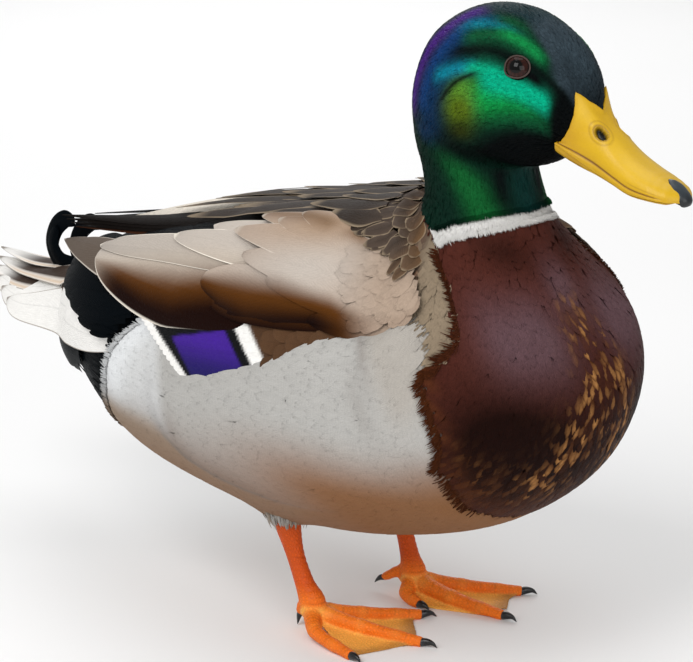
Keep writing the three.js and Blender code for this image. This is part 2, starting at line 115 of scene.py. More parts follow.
def slopes(s, turn, step=0.012):
    """How the loft runs: its change per station, its change per radian, and the way it faces."""
    per_s = (body(s + step, turn) - body(s - step, turn)) / (2 * step)
    per_turn = (body(s, turn + step) - body(s, turn - step)) / (2 * step)
    return per_s, per_turn, unit(np.cross(per_turn, per_s))


def unit(v):
    """Each vector at length 1."""
    return v / np.maximum(np.linalg.norm(v, axis=-1, keepdims=True), 1e-9)


def ramp(low, high, value):
    """Smooth step from 0 at low to 1 at high."""
    f = np.clip((value - low) / (high - low), 0, 1)
    return f * f * (3 - 2 * f)


def fall(low, high, value):
    """Smooth step from 1 at low to 0 at high."""
    return 1 - ramp(low, high, value)


def from_back(turn):
    """Degrees from the back's ridge, 0 to 180 on either side."""
    return np.abs((np.degrees(turn) + 180) % 360 - 180)


def bell(x, middle, half):
    """1 at the middle, falling off on both sides."""
    return np.exp(-((x - middle) / half) ** 2)


def blob(x, y, at_x, at_y, wide, tall):
    """A soft round spot: 1 in its middle, falling off as a bell."""
    return np.exp(-((x - at_x) / wide) ** 2 - ((y - at_y) / tall) ** 2)


def dome(rows, s, turn, low):
    """Height of a bulge over the body: low at its edges, its full lift and thickness in the middle."""
    r = rows[::-1]
    top, foot, lift, thick = (np.interp(s, r[:, 0], r[:, i]) for i in range(1, 5))
    v = np.clip((np.abs(np.degrees(turn)) - top) / (foot - top), 0, 1)
    ends = ramp(rows[-1][0] - .5, rows[-1][0] + .4, s) * fall(rows[0][0] - .3, rows[0][0] + .3, s)
    return low + np.maximum(lift + thick - low, 0) * np.sin(np.pi * v) ** .6 * ends


def flank_height(s, turn):
    """Flank bulge: it stands up quickly at its upper edge and fades into the belly; its front swells
    into a lobe that laps over the shoulder of the wing."""
    t = np.abs(np.degrees(turn))
    r = FLANK[::-1]
    foot, lift, thick = (np.interp(s, r[:, 0], r[:, i]) for i in range(2, 5))
    top = np.interp(s, FLANK_TOP[:, 0], FLANK_TOP[:, 1]) + 1
    rise = ramp(top - 1, top + 8, t) * fall(foot - 30, foot + 4, t)
    ends = ramp(3.65, 4.25, s) * fall(8.35, 8.8, s)
    rear = np.interp(t, [70, 76, 79, 86, 95, 110], [7.75, 7.6, 7.45, 7.17, 7.0, 6.9])
    lobe = ramp(rear - .25, rear + .45, s) * ramp(top, top + 7, t) * fall(96, 122, t)
    return ((lift + thick) * rise + 2.4 * lobe) * ends


def thigh_height(p):
    """Swelling of the belly over the two thighs."""
    low = fall(60, 90, p[..., 2])
    return sum(3.5 * blob(p[..., 0], p[..., 1], x - 1, y, 13, 9) for x, y in THIGHS) * low


def head_relief(s, turn):
    """Cheek, brow, the hollows of eye and lores, and the crease where the head meets the throat."""
    t = np.abs(np.degrees(turn))
    cheek = 1.3 * blob(s, t, 16.5, 92, 1.3, 22) + .8 * blob(s, t, 18.3, 112, .8, 20)
    brow = .9 * blob(s, t, 17.7, 50, .9, 7)
    hollows = 1.0 * blob(s, t, 18.6, 72, .5, 12) + .8 * blob(s, t, 17.6, 66, .45, 11)
    crease = 1.2 * blob(s, t, 14.4, 140, .5, 24) + .5 * blob(s, t, 15.3, 74, 1.1, 3)
    shoulder = 2.6 * blob(s, t, 9.95, 80, .45, 16)
    return cheek + brow - hollows - crease - shoulder


def depth(s):
    """Depth of the skin under the solids, which is the depth of the coat."""
    sizes = bpy.context.scene.mallard_sizes
    return sizes.body_coat + (sizes.head_coat - sizes.body_coat) * ramp(10.5, 12.5, s)


def skin_height(s, turn):
    """Height of the skin over the loft."""
    p = body(s, turn)
    soft = flank_height(s, turn) * .85 + thigh_height(p) + head_relief(s, turn)
    return soft - depth(s) * (1 - .75 * ramp(19.2, 19.9, s))


def on_body(s, turn, height):
    """Points a height above the loft."""
    return body(s, turn) + slopes(s, turn)[2] * height[..., None]


# ---------------------------------------------------------------- markings
def linear(code):
    """A hex colour as linear light."""
    c = np.array([int(code[i:i + 2], 16) / 255 for i in (0, 2, 4)])
    return np.where(c <= .04045, c / 12.92, ((c + .055) / 1.055) ** 2.4)


# Some of these colours stand for painted light and shade: the breast's plum sheen and its near black shade,
# the flank's shade, the belly's browner and darker lower part (partly painted shade and reflected light), the
# bill's highlight and its ochre (partly painted shade), and the head's iridescent bands, which are painted
# reflection.
PLUMES = {
    "bottle_green": "07241a", "emerald": "02ac84", "leaf": "0a9240", "lime": "5e962c", "olive": "566c14",
    "umber": "2a3108", "teal": "067e94", "blue": "0a3a70", "navy": "0a2c4c", "violet": "451b7c",
    "brow": "10964a", "green_deep": "0c5230", "crown": "36434b", "lores": "030607", "neck_green": "115a2a",
    "white": "f2f0ec", "chestnut": "4a241c", "plum": "5f464b", "umber_rim": "5e3218", "gold": "b4804a",
    "deep": "170603", "band": "8c7c68", "band_warm": "7c4c36", "mantle": "50433a", "mantle_edge": "9c8a72",
    "mantle_warm": "6e5238", "scapular": "ab998a", "scapular_pale": "b6ada4", "scapular_warm": "a08469",
    "rust": "54300f", "rust_deep": "160603", "tertial": "b6aa9d", "primary": "15110f", "blade_grey": "5c5148",
    "dark_blade": "241d18", "cream": "efe6d8", "covert": "4c3422", "covert_edge": "6c5038",
    "speculum": "411f8e", "indigo": "1c1458", "black": "08080a",
    "flank": "aeaca8", "flank_shade": "776f69", "belly": "835732", "belly_pale": "988b7c", "snow": "dfe1e2",
    "rump": "04080c", "tail": "eceae6", "tail_brown": "3f332c", "tail_gold": "c9a06a",
    "bill": "c9a012", "bill_ochre": "b3860c", "bill_pale": "d8b234", "nail": "262e34", "iris": "30140e",
    "leg": "f6781a", "leg_red": "c6440a", "web": "ffb450", "web_edge": "5c3320", "claw": "141416",
    "lid": "4c403c", "pupil": "030303", "crown_rear": "1a3136", "neck_teal": "0a3531", "chest_rim": "4c2812",
}


def colour(name):
    """A plumage colour as the panel holds it."""
    return np.array(getattr(bpy.context.scene.mallard_colours, name))


def fill(name, shape):
    """A named colour spread over a shape."""
    return np.broadcast_to(colour(name), tuple(shape) + (3,)).copy()


def lay(under, name, amount):
    """Lays a named colour over another by an amount from 0 to 1."""
    over = colour(name) if isinstance(name, str) else name
    return under + (over - under) * np.clip(amount, 0, 1)[..., None]


# Limits of the markings. Upper and rear edge of the brown breast, as station, degrees from the back.
BREAST_TOP = np.array([[7.2, 180], [7.27, 146], [7.43, 131], [7.48, 123.5], [7.71, 119], [7.89, 111],
                       [8.07, 102], [8.14, 97], [8.31, 94.5], [8.51, 98.5], [8.79, 101.5], [9.01, 101.8],
                       [9.37, 98.2], [9.75, 94.5], [10.05, 86], [10.2, 82], [10.45, 60]])
# Edges of the collar, of the black rump, of the feathers at the bill, as degrees, station.
COLLAR_LOW = np.array([[0, 10.6], [60, 10.5], [74, 10.4], [84, 10.3], [97.5, 10.68], [115.5, 10.98],
                       [138, 11.2], [162, 11.34], [180, 11.36]])
COLLAR_HIGH = np.array([[0, 10.6], [60, 10.5], [74, 10.42], [81, 10.66], [99, 11.07], [119, 11.33],
                        [141, 11.51], [166, 11.59], [180, 11.57]])
RUMP_EDGE = np.array([[0, 3.9], [40, 3.6], [74.5, 3.76], [76.5, 3.6], [81.5, 3.42], [88, 3.24], [94.5, 3.1],
                      [105, 3.02], [130, 2.8], [180, 2.6]])
BILL_EDGE = np.array([[0, 20.2], [24, 19.84], [42, 19.42], [50, 19.64], [62, 19.82], [80, 19.92],
                      [100, 19.85], [118, 19.62], [132, 19.3], [145, 19.05], [160, 19.0], [180, 19.2]])
# Rear limit of the dark back feathers (degrees, station), and their front limit (station, degrees).
MANTLE_LINE = np.array([[0, 4.0], [12, 4.9], [20, 5.5], [24.5, 6.3], [31, 7.05], [48.5, 8.5], [68.5, 8.75],
                        [80, 8.72]])
MANTLE_FRONT = np.array([[8.6, 70], [9.1, 66], [9.75, 64], [10.2, 66], [10.6, 68]])
# Upper limit of the flank feathers over the wing (station, degrees) and their front limit.
FLANK_TOP = np.array([[3, 60], [3.7, 68], [4.4, 84], [4.8, 83], [5.5, 77], [6.1, 70], [6.5, 67], [7.35, 66.5],
                      [7.75, 70], [8.25, 71], [8.6, 76]])
FLANK_FRONT = np.array([[66, 8.1], [72, 8.3], [76, 8.5], [81, 8.66], [88, 8.68], [92, 8.52], [95, 8.32],
                        [97, 8.2]])
# Rear edge of the flank's bulge over the belly (degrees, station).
BULGE_EDGE = np.array([[88, 3.96], [99, 3.92], [113.5, 4.0], [123.5, 4.4], [131, 5.2], [135, 6.2]])
# Rear edge of the breast, low down and at the shoulder (degrees, station).
BREAST_REAR = BREAST_TOP[8::-1, ::-1]
BREAST_SHOULDER = BREAST_TOP[:9:-1, ::-1]


def edge(table, t):
    """The edge's second value at t, straight between its rows."""
    return np.interp(t, table[:, 0], table[:, 1])


def room(s, deg, limit):
    """Millimetres along the body from a station back to a limiting one."""
    per_s, _, _ = slopes(s, np.radians(deg))
    return np.maximum(s - limit, 0) * np.linalg.norm(per_s, axis=-1)


def stripe(s, t, path, half):
    """A band along a path of station, degrees: 1 on the path, fading out over half on both sides."""
    p = np.array(path, float)
    ends = ramp(p[0, 0] - .45, p[0, 0] + .15, s) * fall(p[-1, 0] - .15, p[-1, 0] + .45, s)
    return bell(t, np.interp(s, p[:, 0], p[:, 1]), half) * ends


# Bands and spots of the head in the order they are laid: colour, amount, then a path of station and
# degrees with its half width, or a spot's station and degrees with its two half widths.
# The head's bands are painted reflection: the colours of its iridescent gloss under one light, fixed in
# place.
NAPE_MARKS = [
    ("navy", 1, [[13.4, 75], [14.0, 80], [15.2, 66], [16.2, 42]], 13),
    ("blue", .9, [[14.2, 66], [15.2, 55], [16.2, 37], [16.7, 33]], 8),
    ("violet", 1, [[13.8, 50], [14.8, 42], [15.5, 33], [16.3, 20]], 9.5),
    ("teal", .9, 16.45, 37, .42, 6),
    ("green_deep", 1, [[16.3, 48], [17.2, 44], [18.2, 45]], 8),
    ("green_deep", .8, 17.2, 30, .5, 10),
    ("teal", .4, 17.0, 36, .4, 4),
]
FACE_MARKS = [
    ("lores", .4, 19.0, 34, .55, 16),
    ("brow", .72, [[17.2, 42], [17.7, 43.5], [18.05, 46]], 6.0),
    ("lores", .85, [[15.9, 57.5], [16.6, 59.5], [17.3, 61], [18.6, 60], [19.2, 60]], 4),
    ("teal", 1, [[15.25, 65], [15.7, 68], [16.2, 70.5]], 4.6),
    ("emerald", 1, [[16.3, 71.5], [16.8, 75.5], [17.4, 80]], 4.2),
    ("lime", 1.1, 15.8, 84, .5, 7.5),
    ("leaf", 1, 16.6, 90, .8, 12),
    ("olive", 1.2, 15.4, 91, .58, 10),
    ("umber", .95, 14.9, 101, .6, 9),
    ("emerald", 1.2, [[16.7, 80], [17.4, 83.5], [18.2, 82.5], [18.6, 81.5]], 9.5),
    ("leaf", .7, 17.3, 97, 1.0, 8),
    ("green_deep", .7, 17.6, 106, 1.3, 8),
    ("lores", .9, [[15.0, 78], [15.6, 75.8], [16.3, 75.2]], 1.5),
]


def marked(c, s, t, marks):
    """Lays a table of bands and spots over a colour."""
    for name, amount, *form in marks:
        shape = stripe(s, t, *form) if len(form) == 2 else blob(s, t, *form)
        c = lay(c, name, shape * amount)
    return c


def head_colour(s, t):
    """Iridescent bands of the head: violet nape, blue and teal behind the eye, emerald cheek."""
    c = marked(fill("bottle_green", s.shape), s, t, NAPE_MARKS)
    c = lay(c, "crown_rear", fall(12, 26, t) * ramp(16.1, 16.6, s))
    line = np.interp(t, [0, 24, 35, 44, 60], [17.5, 17.6, 18.1, 18.5, 18.8])
    c = lay(c, "crown", ramp(-.3, .3, s - line) * fall(50, 62, t))
    c = marked(c, s, t, FACE_MARKS)
    c = lay(c, "lores", blob(s, t, 18.15, 67, .34, 5.5) + blob(s, t, 17.6, 67, .36, 7.0))
    c = lay(c, "lores", ramp(18.75, 19.2, s) * ramp(46, 60, t))
    c = lay(c, "lores", ramp(19.0, 20.0, s) * .75)
    c = lay(c, "lores", ramp(109, 126, t) * ramp(13.7, 14.5, s))
    low = fall(12.7, 13.7, s)
    middle = 128 - 14 * (s - 11.7)
    c = lay(c, "neck_green", low * bell(t, middle, 17) * (1.2 - .6 * ramp(12, 13.2, s)))
    c = lay(c, "lores", low * bell(t, 154, 9) * ramp(11.3, 12.1, s))
    c = lay(c, "neck_teal", low * bell(t, 178, 14) * .9)
    return lay(c, "lores", blob(s, t, 13.9, 118, .5, 30) * .8)


def breast_colour(s, t, chance, along=.5, across=0.0):
    """Chestnut, plum where it turns to the light, almost black lower down, with soft golden spots
    on the feathers of its middle and a rusty rim at the flank."""
    c = fill("chestnut", s.shape)
    # Painted sheen: plum where the breast turns to the light.
    c = lay(c, "plum", blob(s, t, 9.6, 150, .5, 18) + blob(s, t, 9.35, 126, .5, 17) * .85)
    c = lay(c, "plum", blob(s, t, 10.2, 178, .45, 12) * .9)
    # Painted shade: nearly black low on the breast and at its front, and darker just under the collar.
    c = lay(c, "deep", blob(s, t, 8.1, 147, .72, 34) * 1.7)
    c = lay(c, "deep", blob(s, t, 10.8, 142, .34, 26) * .6)
    c = lay(c, "deep", blob(s, t, 8.4, 182, 1.1, 26) * .75)
    c = lay(c, "chest_rim", fall(7.45, 7.9, s) * ramp(112, 124, t) * (.15 + .6 * chance))
    rim = blob(s, t, 8.2, 97, .09, 6) * .6 + .6 * blob(s, t, 8.0, 104, .06, 8)
    rim = rim + .5 * blob(s, t, 7.83, 112, .06, 9)
    c = lay(c, "umber_rim", rim)
    strip = stripe(s, t, [[7.9, 161], [8.5, 167], [9.0, 171], [9.6, 175], [9.9, 176]], 8)
    fleck = strip + blob(s, t, 7.75, 150, .22, 26) * .35 + blob(s, t, 8.6, 180, .9, 22) * .3
    c = lay(c, "chest_rim", np.clip(fleck, 0, 1) * ramp(.1, .8, chance) * .7)
    soft = bell(along, .72, .3) * (1 - across ** 2) ** 1.5
    return lay(c, "gold", np.clip(fleck, 0, 1) ** 1.3 * ramp(.5, 1.0, chance) * soft * .9)


def flank_colour(s, t, z):
    """Grey flanks, warm belly, paler rear belly and the white patch behind the flank."""
    c = fill("flank", s.shape)
    lower = np.interp(s, [3.9, 4.4, 5.2, 6.5, 8], [108, 124, 131, 134, 132])
    inner = blob(t, s, lower, 4.6, 13, 1.3) * (t < lower + 4)
    # Painted shade along the lower edge of the flank's bulge.
    c = lay(c, "flank_shade", inner * .6)
    # Painted shadow lines at the edges of the flank's front lobe.
    c = lay(c, "flank_shade", blob(s, t, 7.36, 76, .10, 12) * .6 + blob(s, t, 7.1, 92, .16, 12) * .3)
    c = lay(c, "belly_pale", ramp(7.3, 7.7, s) * ramp(66, 74, t) * fall(96, 112, t) * .4)
    outer = ramp(lower - 2, lower + 6, t)
    c = lay(c, "belly_pale", outer * fall(5.4, 6.4, s))
    # Partly the belly's own warm tone, partly painted shade and reflected light: browner and darker towards
    # the bottom by height, and a brown spot low behind the breast.
    c = lay(c, "belly", fall(74, 106, z) * ramp(4.3, 6.2, s) * .94)
    c = lay(c, "belly", fall(47, 100, z) * fall(4.3, 6.2, s) * .62)
    c = lay(c, "belly", blob(s, t, 7.3, 140, .3, 22) * .5)
    # Painted shadow just behind the rear edge of the flank's bulge.
    behind = bell(s - edge(BULGE_EDGE, t) + .09, 0, .11) * ramp(84, 96, t) * fall(128, 136, t)
    c = lay(c, "flank_shade", behind * .75)
    patch = fall(3.92, 4.2, s) * fall(98, 120, t)
    return lay(c, "snow", patch * (.6 + .4 * fall(.12, .5, s - edge(RUMP_EDGE, t))))


def band_colour(s, t, chance=.5):
    """The finely marked band before the wing: grey buff, reddish towards the wing, with brown mottles
    where it meets the back."""
    c = fill("band", s.shape)
    near = t - edge(MANTLE_FRONT, s)
    c = lay(c, "band_warm", fall(0, 7, near) * .7)
    c = lay(c, "mantle", fall(2, 13, near) * ramp(.35, .6, chance) * .8)
    return lay(c, "mantle_edge", ramp(.7, 1.0, chance) * .35)


def on_chest(s, t):
    """True in front of and below the upper edge of the brown breast."""
    return (s > 7.25) & (t > edge(BREAST_TOP, s))


def plumage(s, turn, z):
    """Colour of the skin at a place on the body, the same as that of the coat over it."""
    s = np.asarray(s, float)
    t = from_back(turn)
    c = flank_colour(s, t, z)
    c = lay(c, band_colour(s, t), (s > edge(FLANK_FRONT, t)) & (t < 100))
    dark = (t < edge(MANTLE_FRONT, s)) & ((s > edge(MANTLE_LINE, t)) | (t < 60)) & (s > 3.5)
    c = lay(c, "mantle", dark)
    c = lay(c, "rump", s < edge(RUMP_EDGE, t))
    c = np.where(on_chest(s, t)[..., None], breast_colour(s, t, np.zeros(s.shape)), c)
    low, high = edge(COLLAR_LOW, t), edge(COLLAR_HIGH, t)
    c = np.where((s > low)[..., None], colour("white"), c)
    return np.where((s > high)[..., None], head_colour(s, t), c)


def one_colour(name):
    """A tint that gives a feather one colour all over."""
    return lambda s, *rest: fill(name, s.shape)


def painted(paint):
    """A tint for feathers that asks paint for the colour at each point's own place on the body."""
    def tint(s, t, u, v, chance, z):
        """Spreads a batch's own values over its points and asks paint."""
        turn = from_back(t)
        along = np.broadcast_to(u[None, :, None], s.shape)
        across = np.broadcast_to(v[None, None], s.shape)
        return paint(s, turn, z, np.broadcast_to(chance[:, None, None], s.shape), along, across)
    return tint


# ---------------------------------------------------------------- meshes
def put(name, points, faces, plume=None, maps=None, smooth=True, sharp=None, normals=None):
    """A mesh object from points in millimetres and lists of faces of equal length. plume holds
    colours by point, maps holds texture coordinates by point, and normals the way each faces."""
    mesh = bpy.data.meshes.new(name)
    co = (points + np.array([ORIGIN_X, 0, 0])) * MM
    loops = np.concatenate([f.ravel() for f in faces])
    totals = np.concatenate([np.full(len(f), f.shape[1]) for f in faces])
    mesh.vertices.add(len(co))
    mesh.vertices.foreach_set("co", co.astype(np.float32).ravel())
    mesh.loops.add(len(loops))
    mesh.loops.foreach_set("vertex_index", loops.astype(np.int32))
    mesh.polygons.add(len(totals))
    starts = np.concatenate([[0], np.cumsum(totals)[:-1]])
    mesh.polygons.foreach_set("loop_start", starts.astype(np.int32))
    mesh.update(calc_edges=True)
    mesh.validate()
    if plume is not None:
        rgba = plume if plume.shape[1] == 4 else np.column_stack([plume, np.ones(len(plume))])
        layer = mesh.color_attributes.new("Plume", "FLOAT_COLOR", "POINT")
        layer.data.foreach_set("color", rgba.astype(np.float32).ravel())
    for key, value in (maps or {}).items():
        layer = mesh.uv_layers.new(name=key)
        layer.data.foreach_set("uv", value[loops].astype(np.float32).ravel())
    if smooth:
        mesh.polygons.foreach_set("use_smooth", np.ones(len(totals), bool))
    if sharp:
        mesh.set_sharp_from_angle(angle=math.radians(sharp))
    if normals is not None:
        mesh.normals_split_custom_set_from_vertices(normals)
    mesh.update()
    piece = bpy.data.objects.new(name, mesh)
    bpy.context.scene.collection.objects.link(piece)
    return piece


def tube_faces(count, rows, ring, first=0):
    """Faces of count closed tubes of rows rings of ring points, each with both ends shut."""
    n = np.arange(count)[:, None, None] * rows * ring + first
    r = np.arange(rows - 1)[None, :, None] * ring
    c = np.arange(ring)[None, None, :]
    d = (c + 1) % ring
    quads = np.stack([n + r + c, n + r + ring + c, n + r + ring + d, n + r + d], -1).reshape(-1, 4)
    ends = np.arange(count)[:, None] * rows * ring + first
    near = ends + np.arange(ring)[None]
    far = (ends + (rows - 1) * ring + np.arange(ring)[None])[:, ::-1]
    return [quads, np.concatenate([near, far])]


def finish(piece, key, nodes=()):
    """Gives a piece its material and slot, and says which solids it stands for."""
    piece.data.materials.append(material(key))
    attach(piece, "root")
    if nodes:
        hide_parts(*nodes)
    return piece


def mirrored(batch):
    """A batch of feathers across the middle plane, its faces turned to look outwards again."""
    made = dict(batch)
    for key in ("points", "normals"):
        made[key] = batch[key] * np.array([1, -1, 1])
    made["flip"] = not batch["flip"]
    return made


def feathers(name, batches, key, nodes=(), soft=False):
    """Joins batches of feathers into one piece with its colours and its two maps. A soft coat is
    shaded by the body under it, so that close feathers read as one surface."""
    points, vane, bake, plume, normals, quads, caps, first = [], [], [], [], [], [], [], 0
    for b in batches:
        n, rows, ring = b["points"].shape[:3]
        q, k = tube_faces(n, rows, ring, first)
        quads.append(q[:, ::-1] if b["flip"] else q)
        caps.append((k[:, ::-1] if b["flip"] else k, ring))
        points.append(b["points"].reshape(-1, 3))
        for kept, part in ((vane, "vane"), (bake, "bake"), (plume, "plume"), (normals, "normals")):
            kept.append(b[part].reshape(len(points[-1]), -1))
        first += len(points[-1])
    sizes = sorted({ring for _, ring in caps})
    faces = [np.concatenate(quads)] + [np.concatenate([k for k, r in caps if r == size]) for size in sizes]
    where = np.concatenate(bake)
    where[:, 0] = where[:, 0] * .5 + .5
    low, high = np.percentile(where, .5, axis=0), np.percentile(where, 99.5, axis=0)
    where = .02 + .96 * np.clip((where - low) / np.maximum(high - low, 1e-6), 0, 1)
    local = np.concatenate(vane)
    maps = {"OFBake": where + (local - .5) * .003, "Vane": local}
    shaded = {"normals": np.concatenate(normals)} if soft else {"sharp": 50}
    piece = put(name, np.concatenate(points), faces, np.concatenate(plume), maps, **shaded)
    return finish(piece, key, nodes)


def each(value, count):
    """One value for each of count feathers."""
    return np.broadcast_to(np.asarray(value, float), (count,))


def carried(per_s, per_t, way):
    """How far a way in space carries along the body, in stations and in radians: the least squares
    answer for its part along the surface."""
    ss, st, tt = (per_s * per_s).sum(-1), (per_s * per_t).sum(-1), (per_t * per_t).sum(-1)
    ws, wt = (per_s * way).sum(-1), (per_t * way).sum(-1)
    det = np.maximum(ss * tt - st * st, 1e-6)
    return (tt * ws - st * wt) / det, (ss * wt - st * ws) / det


def vane_values(u, v, rgb, rim, place):
    """A batch's colours with the strength of its rims, each point's place on its vane, and the place
    of each root on the coat's map."""
    shape = rgb.shape[:3]
    rims = np.broadcast_to(np.asarray(rim, float).reshape(-1, 1, 1, 1), shape + (1,))
    vane = np.stack(np.broadcast_arrays(v[None, None] * .5 + .5, u[None, :, None] * np.ones(shape)), -1)
    return {"plume": np.concatenate([rgb, rims], -1), "vane": vane,
            "bake": np.broadcast_to(place[:, None, None], shape + (2,))}


def blades(root, tip, half, height, *, rows=5, cols=3, point=.3, blunt=.72, neck=.35, camber=.3, rise=.5,
           sink=.6, bend=0., up=None, tint=None, rim=0., seed=1, flip=False, spread=None,
           curve=(2.0, .5), vary=.16, full=.45, deep=.12):
    """Feathers as thin closed vanes over the body. Each runs from its root to its tip, both given as
    station and degrees. Its width swells from the neck to full, then closes to the point from blunt
    on, by the two exponents of curve; it is arched across by camber, starts sunk in the coat and rises
    towards its tip. A point under its middle keeps the underside below in hollows. height gives the
    ground it lies on."""
    rng = np.random.default_rng(seed)
    count = len(root)
    u = np.linspace(0, 1, rows) ** .9
    v = np.linspace(-1, 1, cols)
    wide = each(half, count)
    upper = wide if up is None else each(up, count)
    a = np.stack([root[:, 0], np.radians(root[:, 1])], -1)
    b = np.stack([tip[:, 0], np.radians(tip[:, 1])], -1)
    bow = np.radians(each(bend, count))[:, None]
    uu = u[None, :, None] * np.ones((count, rows, cols))
    s = a[:, 0, None, None] + (b[:, 0] - a[:, 0])[:, None, None] * uu
    t = a[:, 1, None, None] + (b[:, 1] - a[:, 1])[:, None, None] * uu
    t = t + (bow * np.sin(np.pi * u))[..., None]
    centre_s, centre_t = s[:, :, cols // 2], t[:, :, cols // 2]
    per_s, per_t, out = slopes(centre_s, centre_t)
    way = unit(per_s * (b - a)[:, None, 0:1] + per_t * (b - a)[:, None, 1:2])
    side = np.cross(out, way)
    step_s, step_t = carried(per_s, per_t, side)
    swell = neck + (1 - neck) * ramp(0, full, u)
    profile = swell * closing(u, blunt, point, curve)
    reach = np.where(v[None, :] < 0, upper[:, None] * v, wide[:, None] * v)
    across = profile[None, :, None] * reach[:, None, :]
    s = s + step_s[..., None] * across
    t = t + step_t[..., None] * across
    arch = camber * (1 - v[None, None] ** 2) * (.35 + .65 * profile[None, :, None])
    lift = height(s, t) + arch + (rise * u ** 1.5 - sink * (1 - u) ** 2)[None, :, None]
    if spread is not None:
        lift = lift + spread[:, None, None]
    out = slopes(s, t)[2]
    points = body(s, t) + out * lift[..., None]
    mid = cols // 2
    keel = points[:, :, mid] - out[:, :, mid] * (arch[:, :, mid] + deep)[..., None]
    lean = 2 * camber * v[None, None] / wide[:, None, None] * .5
    normals = unit(out + side[:, :, None] * lean[..., None])
    chance = rng.random(count)
    z = points[..., 2]
    rgb = tint(s, t, u, v, chance, z)
    tone = 1 + (rng.random(count) - .5) * vary
    rgb = np.clip(rgb * tone[:, None, None, None], 0, 1)
    made = {"points": np.concatenate([points, keel[:, :, None]], 2),
            "normals": np.concatenate([normals, -out[:, :, mid:mid + 1]], 2), "flip": flip}
    place = np.stack([a[:, 1] / np.pi, a[:, 0] / 20], -1)
    for key, value in vane_values(u, v, rgb, rim, place).items():
        made[key] = np.concatenate([value, value[:, :, mid:mid + 1]], 2)
    return made


def closing(u, blunt, point, curve):
    """How a feather's width closes from blunt on to its point: the two exponents set the shape."""
    x = np.clip((u - blunt) / (1 - blunt), 0, 1)
    return point + (1 - point) * (1 - x ** curve[0]) ** curve[1]


SCATTER_GRID = 407, 181  # lines along the body and round its right half
TRIES = 7  # random places for each that is kept
MOST_CELLS = 4001  # more than lie side by side along any axis


def scatter(spacing, inside, seed):
    """Places spread evenly over the right half of the body, about a spacing apart in millimetres, and
    kept where inside says so: random places, thinned to one in each cell of two shifted grids."""
    rng = np.random.default_rng(seed)
    s = np.linspace(0, 20.3, SCATTER_GRID[0])
    t = np.linspace(0, np.pi, SCATTER_GRID[1])
    cell_s, cell_t = np.meshgrid((s[1:] + s[:-1]) / 2, (t[1:] + t[:-1]) / 2, indexing="ij")
    per_s, per_t, _ = slopes(cell_s, cell_t)
    area = np.linalg.norm(np.cross(per_s, per_t), axis=-1) * (s[1] - s[0]) * (t[1] - t[0])
    area = area * inside(cell_s, np.degrees(cell_t))
    count = int(area.sum() / spacing ** 2 * TRIES)
    pick = rng.choice(area.size, count, p=area.ravel() / area.sum())
    at_s = cell_s.ravel()[pick] + (rng.random(count) - .5) * (s[1] - s[0])
    at_t = cell_t.ravel()[pick] + (rng.random(count) - .5) * (t[1] - t[0])
    for shift in (0.0, 0.5):
        cells = np.floor(body(at_s, at_t) / spacing + shift).astype(np.int64)
        code = cells @ np.array([1, MOST_CELLS, MOST_CELLS ** 2])
        _, keep = np.unique(code, return_index=True)
        at_s, at_t = at_s[keep], at_t[keep]
    return at_s, np.degrees(at_t)


def tufts(spacing, inside, length, half, seed, *, loose=.12, flip=False, **looks):
    """A coat of small feathers over part of the right half of the body: each starts at a scattered
    root and runs towards the tail, turned a little by chance."""
    rng = np.random.default_rng(seed + 1000)
    s, deg = scatter(spacing, inside, seed)
    t = np.radians(deg)
    per_s, per_t, out = slopes(s, t)
    back = unit(-per_s)
    side = np.cross(out, back)
    turned = rng.normal(0, loose, len(s))
    long = (length(s, deg) if callable(length) else length) * rng.uniform(.8, 1.2, len(s))
    wide = (half(s, deg) if callable(half) else half) * rng.uniform(.85, 1.15, len(s))
    go = (back * np.cos(turned)[:, None] + side * np.sin(turned)[:, None]) * long[:, None]
    step_s, step_t = carried(per_s, per_t, go)
    root = np.stack([s, deg], -1)
    tip = np.stack([s + step_s, deg + np.degrees(step_t)], -1)
    layer = looks.pop("layer", .05)
    spread = rng.uniform(-layer, layer, len(s))
    made = blades(root, tip, wide, seed=seed + 2000, spread=spread, **looks)
    return mirrored(made) if flip else made


def fringe_spots(table, low, high, count, ahead, seed, by_station=False):
    """Places strewn along an edge between two limits, up to ahead millimetres in front of it."""
    rng = np.random.default_rng(seed)
    x = rng.uniform(low, high, count)
    s, deg = (x, edge(table, x)) if by_station else (edge(table, x), x)
    per_s, per_t, _ = slopes(s, np.radians(deg))
    off = rng.uniform(0, ahead, count)
    if by_station:
        deg = deg + np.degrees(off / np.linalg.norm(per_t, axis=-1))
    else:
        s = s + off / np.linalg.norm(per_s, axis=-1)
    return np.stack([s, deg], -1)


def both(spacing, inside, length, half, seed, **looks):
    """The same coat on both halves of the body, differently scattered."""
    return [tufts(spacing, inside, length, half, seed, **looks),
            tufts(spacing, inside, length, half, seed + 50, flip=True, **looks)]


# ---------------------------------------------------------------- materials
class Value:
    """A socket that can be summed, multiplied and compared like a number."""

    def __init__(self, shader, socket):
        """Keeps the material it belongs to."""
        self.shader = shader
        self.socket = socket

    def math(self, operation, *others):
        """A maths node over this value and others."""
        return self.shader.node("ShaderNodeMath", {"operation": operation}, *((self,) + others))

    def __add__(self, other):
        return self.math("ADD", other)

    def __mul__(self, other):
        return self.math("MULTIPLY", other)

    def __sub__(self, other):
        return self.math("SUBTRACT", other)

    def __rsub__(self, other):
        return self.shader.node("ShaderNodeMath", {"operation": "SUBTRACT"}, other, self)

    def __abs__(self):
        return self.math("ABSOLUTE")

    __radd__ = __add__
    __rmul__ = __mul__

    def sine(self):
        """Sine of the value in radians."""
        return self.math("SINE")

    def step(self, low, high):
        """Smooth step of the value from 0 at low to 1 at high."""
        settings = {"interpolation_type": "SMOOTHSTEP"}
        return self.shader.node("ShaderNodeMapRange", settings, self, low, high, 0.0, 1.0)


